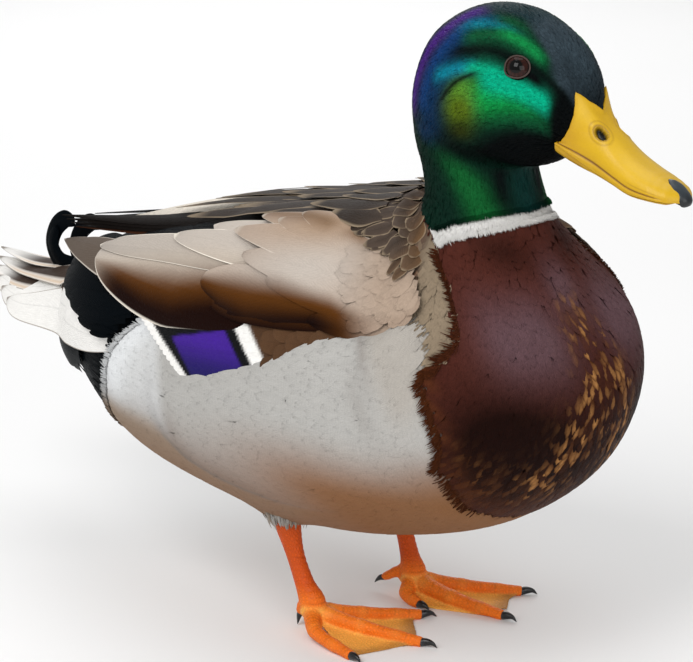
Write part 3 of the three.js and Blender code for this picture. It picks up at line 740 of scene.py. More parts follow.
class Shader:
    """A material's node tree around one Principled BSDF."""

    def __init__(self, name, **constants):
        """A new material with constants for the surface's sockets."""
        self.material = bpy.data.materials.new(name)
        self.material.use_nodes = True
        self.tree = self.material.node_tree
        self.surface = next(n for n in self.tree.nodes if n.type == "BSDF_PRINCIPLED")
        for socket, value in constants.items():
            self.surface.inputs[socket.replace("_", " ")].default_value = value

    def node(self, kind, settings=None, *inputs, out=0, **named):
        """A node of a type with its settings, then the values or links of its sockets."""
        made = self.tree.nodes.new(kind)
        for key, value in (settings or {}).items():
            setattr(made, key, value)
        wanted = list(enumerate(inputs)) + [(k.replace("_", " "), x) for k, x in named.items()]
        for key, value in wanted:
            if isinstance(value, Value):
                self.tree.links.new(value.socket, made.inputs[key])
            elif value is not None:
                made.inputs[key].default_value = value
        return Value(self, made.outputs[out])

    def place(self, scale=None):
        """Object coordinates, multiplied by a scale for each axis where one is given."""
        at = self.node("ShaderNodeTexCoord", out=3)
        if scale is None:
            return at
        return self.node("ShaderNodeVectorMath", {"operation": "MULTIPLY"}, at, scale)

    def noise(self, scale, detail=2.0, rough=.5, at=None):
        """Noise of a scale, in cycles a metre."""
        at = at or self.place()
        return self.node("ShaderNodeTexNoise", None, Vector=at, Scale=scale, Detail=detail, Roughness=rough)

    def cells(self, scale):
        """Distance to the edges of cells of a scale."""
        feature = {"feature": "DISTANCE_TO_EDGE"}
        return self.node("ShaderNodeTexVoronoi", feature, Vector=self.place(), Scale=scale)

    def mix(self, factor, under, over):
        """Colour over another by a factor."""
        made = self.tree.nodes.new("ShaderNodeMix")
        made.data_type = "RGBA"
        for key, value in ((0, factor), (6, under), (7, over)):
            if isinstance(value, Value):
                self.tree.links.new(value.socket, made.inputs[key])
            else:
                made.inputs[key].default_value = value if key == 0 else tuple(value)[:3] + (1.0,)
        return Value(self, made.outputs[2])

    def scaled(self, tint, amount):
        """A colour made lighter or darker by a value."""
        return self.node("ShaderNodeVectorMath", {"operation": "SCALE"}, tint, Scale=amount)

    def link(self, socket, value):
        """Lets a value drive one socket of the surface."""
        self.tree.links.new(value.socket, self.surface.inputs[socket])

    def bump(self, height, distance):
        """Bends the surface's normal by a height."""
        self.link("Normal", self.node("ShaderNodeBump", None, Strength=1.0, Distance=distance, Height=height))

    def attribute(self, name):
        """A colour stored by point."""
        return self.node("ShaderNodeAttribute", {"attribute_name": name})

    def along_body(self):
        """Place along the body's length, in metres."""
        return self.node("ShaderNodeSeparateXYZ", None, self.place())

    def vane(self):
        """Place on a feather: across from -1 to 1, and along from 0 to 1."""
        at = self.node("ShaderNodeUVMap", {"uv_map": "Vane"})
        across = self.node("ShaderNodeSeparateXYZ", None, at)
        return across * 2.0 - 1.0, Value(self, across.socket.node.outputs[1])


def plume_material(name, *, barbs, slant, relief, streak, rim_colour=None, rim_from=.78, shaft=.12,
                   fine=900., grain=.2, waves=0., strokes=.0, **constants):
    """Feather finish: barbs that slant from the shaft, a fine shaft line, a pale rim where the vane
    asks for one, and a grain; waves adds fine wavy grey lines across the vane."""
    sh = Shader(name, **constants)
    tint = sh.attribute("Plume")
    rim = Value(sh, tint.socket.node.outputs["Alpha"])
    across, along = sh.vane()
    far = abs(across)
    wobble = sh.noise(fine, 2.0)
    barb = ((along * barbs - far * slant + wobble * 1.6) * TAU).sine()
    hair = sh.noise(fine * 2.2, 1.0)
    keel = 1.0 - far.step(0.0, .07)
    tone = 1.0 + barb * streak + (wobble - .5) * grain + (hair - .5) * grain - keel * shaft
    if waves:
        bent = sh.noise(220.0, 2.0) * 2.6 + sh.along_body() * 1000.0 * waves
        tone = tone - (bent * TAU).sine().step(-.2, .9) * .035
    if strokes:
        fibre = sh.noise(1.0, 3.0, .6, sh.place((120.0, 900.0, 900.0)))
        tone = tone + (fibre - .5) * strokes
    made = sh.scaled(tint, tone)
    if rim_colour is not None:
        outer = far.step(rim_from, .98).math("MAXIMUM", along.step(.5 + rim_from / 2, .99))
        made = sh.mix(outer * rim, made, rim_colour)
    sh.link("Base Color", made)
    sh.bump(barb * .5 + wobble * .8 + keel * .6 + hair * .4, relief)
    return sh.material


def horn_material(name, grains, tone, rough=None, height=None, depth=0., **constants):
    """Finish of skin and horn. Its colour, roughness and relief are each a base and a weighted sum of
    grains: a noise by scale and detail, or the edges of cells by their scale alone."""
    sh = Shader(name, **constants)
    tint = sh.attribute("Plume")
    grains = [sh.noise(*g) if len(g) == 2 else sh.cells(*g).step(.0, .35) for g in grains]

    def total(base, *weights):
        """The base and the weighted grains added up."""
        first, *rest = [g if w == 1 else g * w for w, g in zip(weights, grains) if w]
        return sum(rest, first + base if base else first)

    sh.link("Base Color", sh.scaled(tint, total(*tone)))
    if rough:
        sh.link("Roughness", total(*rough))
    if height:
        sh.bump(total(0, *height), depth)
    return sh.material


PLUME_FINISHES = {
    "head": dict(name="Iridescent head plumage", barbs=3, slant=2, relief=.00010, streak=.08, fine=2200.,
                 grain=.85, shaft=.03, Roughness=.42, Specular_IOR_Level=.05),
    "breast": dict(name="Chestnut plumage", barbs=7, slant=3, relief=.00008, streak=.06, fine=900.,
                   grain=.3, shaft=.03, strokes=.35, Roughness=.5, Specular_IOR_Level=.04),
    "soft": dict(name="Soft grey plumage", barbs=10, slant=4, relief=.00006, streak=.015, fine=900.,
                 grain=.07, shaft=.0, waves=.75, strokes=.14, Roughness=.65, Specular_IOR_Level=.05),
    "vane": dict(name="Wing plumage", barbs=34, slant=9, relief=.00008, streak=.03, fine=700., grain=.10,
                 shaft=.03, rim_from=.93, strokes=.12, rim_colour=linear(PLUMES["cream"]), Roughness=.5,
                 Specular_IOR_Level=.03),
    "tail": dict(name="White tail plumage", barbs=40, slant=9, relief=.00010, streak=.02, fine=500.,
                 grain=.05, shaft=.12, rim_from=.93, rim_colour=linear("8c8074"), strokes=.2,
                 Roughness=.6, Specular_IOR_Level=.05),
    "mantle": dict(name="Mantle plumage", barbs=16, slant=6, relief=.00008, streak=.05, fine=700., grain=.2,
                   shaft=.06, rim_from=.74, rim_colour=linear(PLUMES["mantle_edge"]), Roughness=.58,
                   Specular_IOR_Level=.06),
    "speculum": dict(name="Speculum", barbs=26, slant=8, relief=.00006, streak=.08, fine=400., grain=.12,
                     shaft=.04, strokes=.2, Roughness=.34, Specular_IOR_Level=.06),
    "gloss": dict(name="Black glossy plumage", barbs=20, slant=7, relief=.00008, streak=.15, fine=500.,
                  grain=.3, shaft=.04, Roughness=.4, Specular_IOR_Level=.012),
}
HORN_FINISHES = {
    "skin": dict(name="Skin under the coat", grains=[(900., 3.)], tone=(.8, .3), height=(1,), depth=.0004,
                 Roughness=.7, Specular_IOR_Level=.05),
    "bill_horn": dict(name="Bill horn", grains=[(70., 3.), (900., 3.)], tone=(.86, .2, .08),
                      rough=(.3, .15, .1), height=(.5, 1), depth=.00012, Roughness=.38,
                      Specular_IOR_Level=.3, Coat_Weight=.08, Coat_Roughness=.3),
    "nail_horn": dict(name="Nail horn", grains=[(500., 3.)], tone=(.7, .6), rough=(.28, .2), height=(1,),
                      depth=.0001, Roughness=.4, Specular_IOR_Level=.5),
    "eye": dict(name="Eye", grains=[(2500., 2.)], tone=(.6, .8), Roughness=.04, Specular_IOR_Level=.2),
    "leg_skin": dict(name="Scaly leg skin", grains=[(750.,), (120., 3.), (1400., 3.)], tone=(.72, .16, .24),
                     rough=(.42, 0, 0, .2), height=(1, 0, .4), depth=.00018, Roughness=.5,
                     Specular_IOR_Level=.22),
    "claw_horn": dict(name="Claw horn", grains=[(800., 2.)], tone=(.6, .8), rough=(.2, .2), height=(1,),
                      depth=.00006, Roughness=.3, Specular_IOR_Level=.5),
}
MATERIALS = {}


def material(key):
    """The named finish, made when it is first asked for."""
    if key not in MATERIALS:
        if key in PLUME_FINISHES:
            MATERIALS[key] = plume_material(**PLUME_FINISHES[key])
        else:
            MATERIALS[key] = horn_material(**HORN_FINISHES[key])
    return MATERIALS[key]


# ---------------------------------------------------------------- skin
def ball_axes(side=1.0):
    """The eye's middle and its axes: out, forwards and up."""
    turn = np.array(math.radians(EYE["turn"]))
    s = np.array(EYE["s"])
    _, _, out = slopes(s, turn)
    middle = body(s, turn) - out * EYE["sunk"]
    up = unit(np.array([0, 0, 1.0]) - out * out[2])
    front = np.cross(up, out) * -1.0
    flip = np.array([1, side, 1.0])
    return middle * flip, out * flip, front * flip, up * flip


def lid(side):
    """Ring of the eyelids: a soft lip round an almond opening, pointed low in front, on the ball."""
    middle, out, front, up = ball_axes(side)
    a = np.linspace(0, TAU, 72, endpoint=False)[:, None]
    b = np.linspace(0, TAU, 12, endpoint=False)[None]
    corner = bell(np.mod(a + .55 + math.pi, TAU), math.pi, .30)
    rear = bell(np.mod(a - math.pi - .2 + math.pi, TAU), math.pi, .4)
    opening = np.radians(43.0 + 11.0 * np.cos(a) ** 2 + 8.0 * corner + 1.0 * rear)
    angle = opening + np.radians(3.6) + np.radians(3.6) * np.cos(b)
    radius = EYE["radius"] + .2 + .34 * np.sin(b)
    radial = front * np.cos(a)[..., None] + up * np.sin(a)[..., None]
    way = out * np.cos(angle)[..., None] + radial * np.sin(angle)[..., None]
    points = middle + way * radius[..., None]
    n, m = points.shape[:2]
    i = np.arange(n)[:, None] * m
    k = ((np.arange(n) + 1) % n)[:, None] * m
    j = np.arange(m)[None]
    j2 = (j + 1) % m
    quads = np.stack([i + j, k + j, k + j2, i + j2], -1).reshape(-1, 4)
    return points.reshape(-1, 3), quads


SKIN_ROWS, SKIN_RING = 281, 168  # rings along the body, points round each


class MALLARD_OT_skin(bpy.types.Operator):
    """One skin from the tail's root to the bill, with the eyelids"""
    bl_idname = "mallard.skin"
    bl_label = "Skin and eyelids"

    def execute(self, context):
        t = np.linspace(0, TAU, SKIN_RING, endpoint=False)[None] * np.ones((SKIN_ROWS, 1))
        front = LAST_STATION + .02 + .22 * np.exp(-(np.minimum(t, TAU - t) / .25) ** 2)
        s = np.linspace(0, 1, SKIN_ROWS)[:, None] * front - .02
        p = on_body(s, t, skin_height(s, t))
        rgb = plumage(s, t, p[..., 2])
        quads, caps = tube_faces(1, SKIN_ROWS, SKIN_RING)
        points, colours = [p.reshape(-1, 3)], [rgb.reshape(-1, 3)]
        loose = [quads[:, ::-1]]
        for side in (1.0, -1.0):
            ring, faces = lid(side)
            loose.append((faces if side > 0 else faces[:, ::-1]) + sum(len(x) for x in points))
            points.append(ring)
            colours.append(fill("lid", ring.shape[:-1]))
        faces = [np.concatenate(loose), caps[:, ::-1]]
        piece = put("skin", np.concatenate(points), faces, np.concatenate(colours))
        nodes = ["head", "neck", "breast", "trunk", "rump", "thigh_R", "thigh_L", "flank_R", "flank_L"]
        finish(piece, "skin", nodes)
        return {"FINISHED"}


# ---------------------------------------------------------------- coat
def keep_eye_clear(batch):
    """Drops the feathers that would cross the eye."""
    middle, out, front, up = ball_axes(-1.0 if batch["flip"] else 1.0)
    q = batch["points"] - middle
    near = np.sqrt(((q * front).sum(-1) / 5.2) ** 2 + ((q * up).sum(-1) / 4.3) ** 2)
    near = np.where((q * out).sum(-1) < -3, 9.0, near).min(axis=(1, 2))
    for key in ("points", "plume", "vane", "bake", "normals"):
        batch[key] = batch[key][near > 1]
    return batch


def on_collar(s, t):
    """True between the collar's two edges."""
    return (s > edge(COLLAR_LOW, t) + .05) & (s < edge(COLLAR_HIGH, t) - .01)


def fringed(table, low, high, count, ahead, seed, length, half, by_station=False, lean=0.0, slant=6.0,
            **looks):
    """Fine hairs along an edge of the coat on both sides of the body, of chance length, slant and
    layer: count of them between low and high, rooted a little ahead of the edge."""
    made = []
    for flip in (False, True):
        spots = fringe_spots(table, low, high, count, ahead, seed + flip, by_station)
        rng = np.random.default_rng(seed + 7)
        long = rng.uniform(.5, 1.3, count) * length
        slants = rng.normal(lean, slant, count)
        layers = rng.uniform(-.1, .5, count)
        batch = placed(spots, long, half, seed=seed + 3 + flip, turn=slants, spread=layers, **looks)
        made.append(mirrored(batch) if flip else batch)
    return made


THROAT_TOP = 14.6  # station where the neck's coat ends and the head's starts


class MALLARD_OT_head_coat(bpy.types.Operator):
    """Small close feathers of the head and neck, and the white collar"""
    bl_idname = "mallard.head_coat"
    bl_label = "Head, neck and collar feathers"

    def execute(self, context):
        sizes = context.scene.mallard_sizes

        def ground(s, t):
            """A little over the skin."""
            return skin_height(s, t) + .35

        def face(s, t):
            """True from the throat to the edge of the bill."""
            return (s > THROAT_TOP) & (s < edge(BILL_EDGE, t))

        def throat(s, t):
            """True from the collar to the head."""
            return (s > edge(COLLAR_HIGH, t) + .04) & (s <= THROAT_TOP)

        def small(s, t):
            """Full length on the nape, .6 of it at the bill."""
            return sizes.head_feather * (.6 + .4 * fall(16.5, 19.2, s))

        def above_collar(s, t):
            """The room to the collar's upper edge, within limits."""
            return np.clip(room(s, t, edge(COLLAR_HIGH, t)) + .6, 1.4, sizes.head_feather * 1.4)

        def in_collar(s, t):
            """The room to the collar's lower edge, within limits."""
            return np.clip(room(s, t, edge(COLLAR_LOW, t)) + .6, 1.2, 2.6)

        green = painted(lambda s, t, z, *rest: head_colour(s, t))
        white = one_colour("white")
        looks = {"height": ground, "camber": .12, "rise": .16, "sink": .3, "point": .2, "rows": 4,
                 "neck": .6, "blunt": .45, "tint": green}
        batches = [keep_eye_clear(b) for b in both(1.05, face, small, .62, 11, vary=.30, **looks)]
        feathers("coat_head", batches, "head", soft=True)
        batches = both(1.25, throat, above_collar, .7, 12, vary=.22, **looks)
        def over(s, t):
            """A little over the head's ground, for the collar."""
            return ground(s, t) + .45

        thin = dict(looks, blunt=.2, point=.06, rise=.3, height=over)
        batches += fringed(COLLAR_HIGH, 80, 180, 900, .4, 14, 1.9, .15, slant=9.0, **thin)
        feathers("coat_neck", batches, "head", soft=True)
        plain = dict(looks, rise=.2, tint=white, point=.06, blunt=.3, vary=.05)
        batches = both(.85, on_collar, in_collar, .42, 13, **plain)
        plain["height"] = over
        batches += fringed(COLLAR_LOW, 80, 180, 900, .4, 18, 1.9, .15, slant=9.0, **plain)
        feathers("coat_collar", batches, "soft", soft=True)
        return {"FINISHED"}


def on_breast(s, t):
    """True on the brown breast, up to the collar."""
    return on_chest(s, t) & (s <= edge(COLLAR_LOW, t))


def on_band(s, t):
    """True on the pale band between the breast and the flank."""
    inside = (s > edge(FLANK_FRONT, t) - .1) & (t > edge(MANTLE_FRONT, s) - 3) & ~on_chest(s, t)
    return inside & (s < 10.3)


def on_side(s, t):
    """True on the grey side."""
    inside = (s > edge(RUMP_EDGE, t)) & (t > edge(FLANK_TOP, s)) & (s < edge(FLANK_FRONT, t))
    return inside & ~on_chest(s, t)


def on_rump(s, t):
    """True on the black rump."""
    return (s > .02) & (s < edge(RUMP_EDGE, t) + np.where(t < 70, .35, -.04))


class MALLARD_OT_body_coat(bpy.types.Operator):
    """Breast, shoulder band, flanks, belly and the black feathers round the tail"""
    bl_idname = "mallard.body_coat"
    bl_label = "Breast, flank and rump feathers"

    def execute(self, context):
        sizes = context.scene.mallard_sizes

        def ground(s, t):
            """Close over the skin, with a lip along the flank's upper edge."""
            lip = bell(np.degrees(np.abs(t)) - edge(FLANK_TOP, s), 2, 3.5)
            return skin_height(s, t) + .6 + 1.5 * lip * ramp(4.3, 4.7, s) * fall(7.0, 7.4, s)

        def behind_breast(s, t):
            """The room on the breast behind a place."""
            shoulder = (s > 8.8) & (t < 99.5)
            return room(s, t, np.where(shoulder, edge(BREAST_SHOULDER, t), edge(BREAST_REAR, t)))

        def breast_length(s, t):
            """The room behind, at most a feather that shortens up the breast."""
            full = sizes.breast_feather * (.6 + .4 * fall(9.2, 10.8, s))
            return np.clip(behind_breast(s, t) * .9 + .8, 1.8, full)

        def breast_half(s, t):
            """A quarter of the room behind, within limits."""
            return np.clip(behind_breast(s, t) / 4, .45, 1.7)

        def flank_length(s, t):
            """The room to the black rump, at most a flank feather."""
            return np.clip(room(s, t, edge(RUMP_EDGE, t)) * .9 + 1, 2.5, sizes.flank_feather)

        def band_length(s, t):
            """The room to the flank's front, and short under the belly."""
            return np.where(t > 96, 2.2, np.clip(room(s, t, edge(FLANK_FRONT, t)) + 1.5, 2.5, 7.0))

        def band_half(s, t):
            """A quarter of the room to the flank's front, within limits."""
            return np.clip(room(s, t, edge(FLANK_FRONT, t)) / 4 + .3, .35, 1.1)

        def flank_half(s, t):
            """A fifth of the room to the black rump, within limits."""
            return np.clip(room(s, t, edge(RUMP_EDGE, t)) / 5, .7, 2.3)

        def rump_half(s, t):
            """A third of the room to the edge of the black, and wider by the back's ridge."""
            return np.clip(room(edge(RUMP_EDGE, t), t, s) / 3 + .5 + 3 * (t < 70), .7, 3.2)

        def over(s, t):
            """Half a millimetre over the coat's ground, for the hairs on its edges."""
            return ground(s, t) + .5

        def rust(s, t, z, *rest):
            """The breast's colour, rustier."""
            return lay(breast_colour(s, t, *rest), "umber_rim", np.full(s.shape, .55))

        brown = painted(lambda s, t, z, *rest: breast_colour(s, t, *rest))
        rusty = painted(rust)
        buff = painted(lambda s, t, z, chance, *rest: band_colour(s, t, chance))
        grey = painted(lambda s, t, z, *rest: flank_colour(s, t, z))
        black = one_colour("rump")
        looks = {"height": ground, "camber": .15, "rise": .15, "sink": .25, "rows": 5, "cols": 5,
                 "point": .15, "blunt": .5, "deep": .4}
        thin = dict(looks, rows=4, cols=3, blunt=.15, point=.05, rise=.5, camber=.05, height=over)
        batches = both(2.3, on_breast, breast_length, breast_half, 21, loose=.1, tint=brown, vary=.10,
                       **looks)
        hairs = dict(thin, tint=rusty, vary=.3, sink=1.0)
        batches += fringed(BREAST_TOP, 7.26, 8.5, 520, .8, 25, 4.4, .22, True, **hairs)
        batches += fringed(BREAST_TOP, 8.5, 10.15, 480, .6, 28, 3.6, .2, True, lean=-30.0, slant=12.0,
                           **hairs)
        feathers("coat_breast", batches, "breast", soft=True)
        batches = both(1.6, on_band, band_length, band_half, 22, loose=.12, tint=buff, vary=.04,
                       **dict(looks, camber=.05))
        feathers("coat_band", batches, "soft", soft=True)
        high = dict(thin, rise=.6, tint=grey, vary=.06)
        hairs = fringed(FLANK_TOP + [0, .6], 4.5, 7.1, 800, 1.0, 27, 4.4, .15, True, lean=-14.0, slant=6.0,
                        **high)
        tail_hairs = fringed(RUMP_EDGE, 76, 180, 600, 1.0, 31, 3.6, .26, tint=grey, vary=.06, **thin)
        for i, side in enumerate("RL"):
            batch = tufts(2.8, on_side, flank_length, flank_half, 23 + i * 50, loose=.07, flip=bool(i),
                          tint=grey, vary=.03, **looks)
            made = [batch, hairs[i], tail_hairs[i]]
            feathers(f"coat_side_{side}", made, "soft", soft=True)
        batches = both(3.2, on_rump, 13.0, rump_half, 24, loose=.1, tint=black, **dict(looks, rise=.5))
        feathers("coat_rump", batches, "gloss", soft=True)
        return {"FINISHED"}


# ---------------------------------------------------------------- wings and back
def rows_of(table, curve=(2.0, .5)):
    """Large feathers from rows of: root station, degrees, tip station, degrees, half width below and
    above its shaft, how far along it starts to close, width of the tip, rim, bow, layer."""
    t = np.array(table, float)
    return {"root": t[:, 0:2], "tip": t[:, 2:4], "half": t[:, 4], "up": t[:, 5], "blunt": t[0, 6],
            "point": t[0, 7], "rim": t[:, 8], "bend": t[:, 9], "spread": t[:, 10], "curve": curve}


def flat(height):
    """A ground of one height over the skin."""
    return lambda s, t: np.full(s.shape, height)


def placed(spots, length, half, **looks):
    """Feathers rooted at spots (station, degrees), running straight to the tail for a length in mm."""
    s, deg = np.array(spots).T
    per_s, _, _ = slopes(s, np.radians(deg))
    ds = np.broadcast_to(length, s.shape) / np.linalg.norm(per_s, axis=-1)
    turn = looks.pop("turn", 0.0)
    return blades(np.stack([s, deg], -1), np.stack([s - ds, deg + turn * ds], -1), half, **looks)


def bricks(from_s, to_s, step, top, foot, wide):
    """Spots in staggered rows from one station back to another, between two edges in degrees."""
    spots = []
    for k, s in enumerate(np.arange(from_s, to_s, -step)):
        low, high = (np.interp(s, *np.array(e).T) for e in (top, foot))
        spots += [(s, a) for a in np.arange(low + wide * (.5 if k % 2 else 1.0), high, wide)]
    return spots


def wing_colour(s, t, u, v, chance, z):
    """Scapulars and tertials: grey beige above, turning through brown to near black at the lower edge."""
    deg = np.degrees(t)
    c = fill("scapular", s.shape)
    c = lay(c, "scapular_pale", blob(s, deg, 6.2, 50, 1.3, 10) * .9)
    c = lay(c, "scapular_warm", ramp(7.0, 8.2, s) * .25)
    c = lay(c, "scapular_warm", blob(s, deg, 6.2, 34, 1.0, 7) * .7)
    start = np.interp(s, [4.4, 4.6, 5.85, 6.8, 7.7, 8.6], [53, 55, 56, 60, 69, 78])
    foot = np.interp(s, [4.4, 4.9, 5.33, 6.2, 6.5, 7.7, 8.6], [57, 66, 69.5, 67.5, 67, 75, 81])
    f = (deg - start) / (foot - start)
    fade = 1 - ramp(6.9, 7.9, s) * .85
    c = lay(c, "rust", ramp(-.45, .3, f) * fade)
    c = lay(c, "rust_deep", ramp(.2, .9, f) * fall(6.4, 7.6, s))
    streak = stripe(s, deg, [[5.0, 27], [5.8, 30], [6.3, 33]], 3.2)
    streak = streak + stripe(s, deg, [[6.9, 36], [7.4, 40]], 3.0)
    return lay(c, "mantle_warm", streak * .75)


def tertial_colour(s, t, u, v, chance, z):
    """The large lower tertial runs from beige at its upper edge to dark red brown below."""
    deg = np.degrees(t)
    c = fill("tertial", s.shape)
    start = np.interp(s, [2.2, 3.2, 3.7, 4.6], [50, 49, 48, 45.5])
    foot = np.interp(s, [2.2, 3.0, 3.5, 3.8, 4.2, 4.8], [50, 61, 70, 75, 77.5, 72])
    f = (deg - start) / (foot - start)
    c = lay(c, "rust", ramp(.02, .48, f) * (.35 + .65 * ramp(2.4, 3.3, s)))
    c = lay(c, "rust_deep", ramp(.36, .78, f) * ramp(2.4, 3.4, s))
    return lay(c, "scapular_pale", fall(start - 5, start + 3, deg) * .8)


def back_colour(s, t, u, v, chance, z):
    """Dark back feathers, warmer low on the shoulder, nearly black in the long ones."""
    deg = np.degrees(np.abs(t))
    c = fill("mantle", s.shape)
    c = lay(c, "dark_blade", fall(6.4, 8.3, s) * .85)
    c = lay(c, "mantle_warm", ramp(50, 64, deg) * .5 + ramp(8.8, 9.8, s) * .45)
    shade = (1 - np.abs(v))[None, None] * fall(.5, .95, u)[None, :, None]
    return lay(c, "dark_blade", shade * .45 * fall(60, 74, deg))


def speculum_colour(s, t, u, v, chance, z):
    """Violet panel in a black frame with a white bar before and behind, all slanting back and down."""
    deg = np.degrees(t)
    q = s - .0256 * (deg - 76)
    c = fill("black", s.shape)
    panel = ramp(4.21, 4.25, q) * fall(5.10, 5.14, q) * ramp(70.9, 71.9, deg + (s - 5.03) * 8)
    violet = lay(fill("speculum", s.shape), "indigo", ramp(75, 88, deg))
    c = lay(c, violet, panel)
    c = lay(c, "white", ramp(5.28, 5.31, q))
    c = lay(c, "covert", ramp(5.5, 5.56, q))
    return lay(c, "white", fall(4.02, 4.05, s - .0356 * (deg - 76.5)))


def covert_colour(s, t, u, v, chance, z):
    """Grey-brown, a little paler towards the tip."""
    c = fill("covert", s.shape)
    return lay(c, "covert_edge", np.broadcast_to(ramp(.35, .95, u)[None, :, None] * .15, s.shape))


def primary_tint(u, v, chance):
    """Nearly black, the last of them with a fine rusty line near the lower edge."""
    c = fill("primary", (len(chance), len(u), len(v)))
    last = (np.arange(len(chance)) == len(chance) - 1)[:, None, None]
    return lay(c, "umber_rim", np.broadcast_to(ramp(.6, .95, v)[None, None] * last * .55, c.shape[:3]))


def cream_tint(u, v, chance):
    """Cream, dark towards its root, where it lies under the back's feathers."""
    c = fill("cream", (len(chance), len(u), len(v))) * .8
    return lay(c, "dark_blade", np.broadcast_to(fall(.3, .5, u)[None, :, None], c.shape[:3]))


def on_mantle(s, t):
    """True on the dark back, inside its rear and front limits."""
    inside = (s > edge(MANTLE_LINE, t) + .12) & (t < edge(MANTLE_FRONT, s)) & (s > 6.6)
    return inside & (s < 10.55)


def on_shoulder(s, t):
    """True on the pale shoulder between the back and the flank."""
    return (s > 7.6) & (s < edge(MANTLE_LINE, t) + .35) & (t > 44) & (t < edge(FLANK_TOP, s) + 1)


def paired(name, batches, key, nodes=()):
    """The same feathers as a right and a left piece."""
    for side, flip in (("R", False), ("L", True)):
        made = [mirrored(b) if flip else b for b in batches]
        feathers(f"{name}_feathers_{side}", made, key, [f"{n}_{side}" for n in nodes])


class MALLARD_OT_wings(bpy.types.Operator):
    """Folded wings: primaries, speculum, coverts, tertials, scapulars, and the mantle between them"""
    bl_idname = "mallard.wings"
    bl_label = "Wings and mantle"

    def execute(self, context):
        def scapular_ground(s, t):
            """The dome of the scapulars."""
            return dome(SCAPULARS, s, t, 3.0)

        def tertial_ground(s, t):
            """The dome of the tertials."""
            return dome(TERTIALS, s, t, 2.0)

        def blade_ground(s, t):
            """High over the tail's root, low under the tertials."""
            return np.interp(s, [.6, 1, 1.6, 2.4, 3.4], [13, 10.5, 6.5, 3.4, 1.8])

        k = np.arange(4.0)
        root = on_body(np.full(4, 4.7), np.radians(17 + 1.5 * k), 1.0 - .3 * k)
        tip = np.stack([-166 + 4 * k, -12.5 - .8 * k, 139.9 - .8 * k], -1)
        middle = (root + tip) / 2 + np.array([0, -1.5, -2.2])
        out = np.broadcast_to(unit(np.array([-.1, -.4, .9])), (4, 3))
        shape = {"rows": 40, "cols": 9, "camber": .9, "blunt": .35, "point": .06, "neck": .8,
                 "curve": (1.2, .9)}
        long = free_blades(np.stack([root, middle, tip], 1), out, 4.8, tint=primary_tint, seed=31, **shape)
        start = on_body(np.full(1, 5.4), np.radians([8.0]), np.array([.5]))
        path = np.stack([start, np.array([[-68.0, -7, 161]]), np.array([[-132.0, -5, 143.6]])], 1)
        pale = free_blades(path, out[:1], 6.5, tint=cream_tint, seed=30, **shape)
        feathers("primary_feathers_R", [long, pale], "gloss", ["primaries_R"])
        tucked = [mirrored(long), mirrored(pale)]
        sunk = (np.linspace(0, 1, 40) ** 1.5)[None, :, None, None] * np.array([0, -6.5, -2.6])
        for batch in tucked:
            batch["points"] = batch["points"] + sunk
        feathers("primary_feathers_L", tucked, "gloss", ["primaries_L"])

        angles = np.arange(64, 97, 1.5)
        count = len(angles)
        root = np.stack([np.full(count, 6.1), angles - 3], -1)
        tip = np.stack([4.0 + .0356 * (angles - 76.5), angles + 2], -1)
        bars = blades(root, tip, 2.4, flat(1.2), rows=70, cols=5, camber=.12, rise=.2, sink=.3, neck=.8,
                      blunt=.985, point=.8, tint=speculum_colour, seed=32, vary=.06,
                      spread=np.linspace(1.1, 0, count))
        paired("speculum", [bars], "speculum", ["secondaries"])

        spots = bricks(7.5, 5.75, .22, [[5, 62], [8, 60]], [[5, 92], [8, 84]], 8)
        made = placed(spots, 13, 4.6, height=flat(1.9), tint=covert_colour, rows=12, cols=7, camber=.15,
                      rise=.4, sink=.5, blunt=.55, point=.3, vary=.25, seed=33)
        paired("covert", [made], "mantle", ["coverts"])

        fine = {"rows": 48, "cols": 17, "camber": .6, "rise": .8, "sink": .8, "neck": .5}
        low = rows_of([[6.4, 62, 2.22, 43.5, 22.8, 9, .53, .03, .8, 2, 0]], (1.25, .85))
        low["full"] = .7
        high = rows_of([[6.0, 51, 2.28, 42.5, 4.6, 9, .5, .05, .8, 0, 1.0],
                        [6.6, 43, 3.84, 39, 8.5, 7, .66, .2, 1.0, 1, 1.7],
                        [6.6, 37, 4.3, 33, 8, 7, .6, .2, .4, 0, 1.2]], (1.6, .6))
        under = rows_of([[4.6, 47, .78, 41, 13, 7, .45, .02, .55, 0, -.6]], (1.1, 1.0))
        made = [blades(height=tertial_ground, tint=tertial_colour, seed=34, **low, **fine),
                blades(height=tertial_ground, tint=tertial_colour, seed=40, **high, **fine),
                blades(height=blade_ground, tint=one_colour("blade_grey"), seed=41, **under, **fine)]
        paired("tertial", made, "vane", ["tertials"])

        broad = rows_of([
            [8.7, 73, 6.35, 66.0, 4, 9, .5, .1, 0, 1, 0],
            [8.75, 62, 5.6, 54, 9, 11, .6, .15, 0, 0, .8],
            [8.7, 57, 5.1, 46, 10, 9, .6, .15, .0, 0, 1.2],
            [8.65, 50, 4.72, 35.5, 10, 8, .6, .08, .35, 0, 1.6],
            [8.1, 48, 5.3, 31, 8, 7, .55, .08, .3, 0, 1.6],
            [7.4, 39, 4.95, 28.5, 6.5, 6, .5, .05, .5, 0, 1.5],
            [7.6, 42, 5.6, 28, 6.5, 6, .5, .08, .3, 0, 1.8]], (1.5, .7))
        big = rows_of([[8.4, 64, 4.52, 56.8, 10.5, 10, .8, .12, 0, 1, .3]], (2.0, .6))
        looks = dict(fine, rise=.5, camber=.4, sink=4.2)
        looks.update(height=scapular_ground, tint=wing_colour, vary=.04)
        upper = blades(seed=35, **broad, **looks)
        lowest = blades(seed=36, full=.85, **big, **looks)
        paired("scapular", [lowest, upper], "vane", ["scapulars"])

        def paler(*at):
            """The wing's colour, 14 per cent lighter."""
            return wing_colour(*at) * 1.14

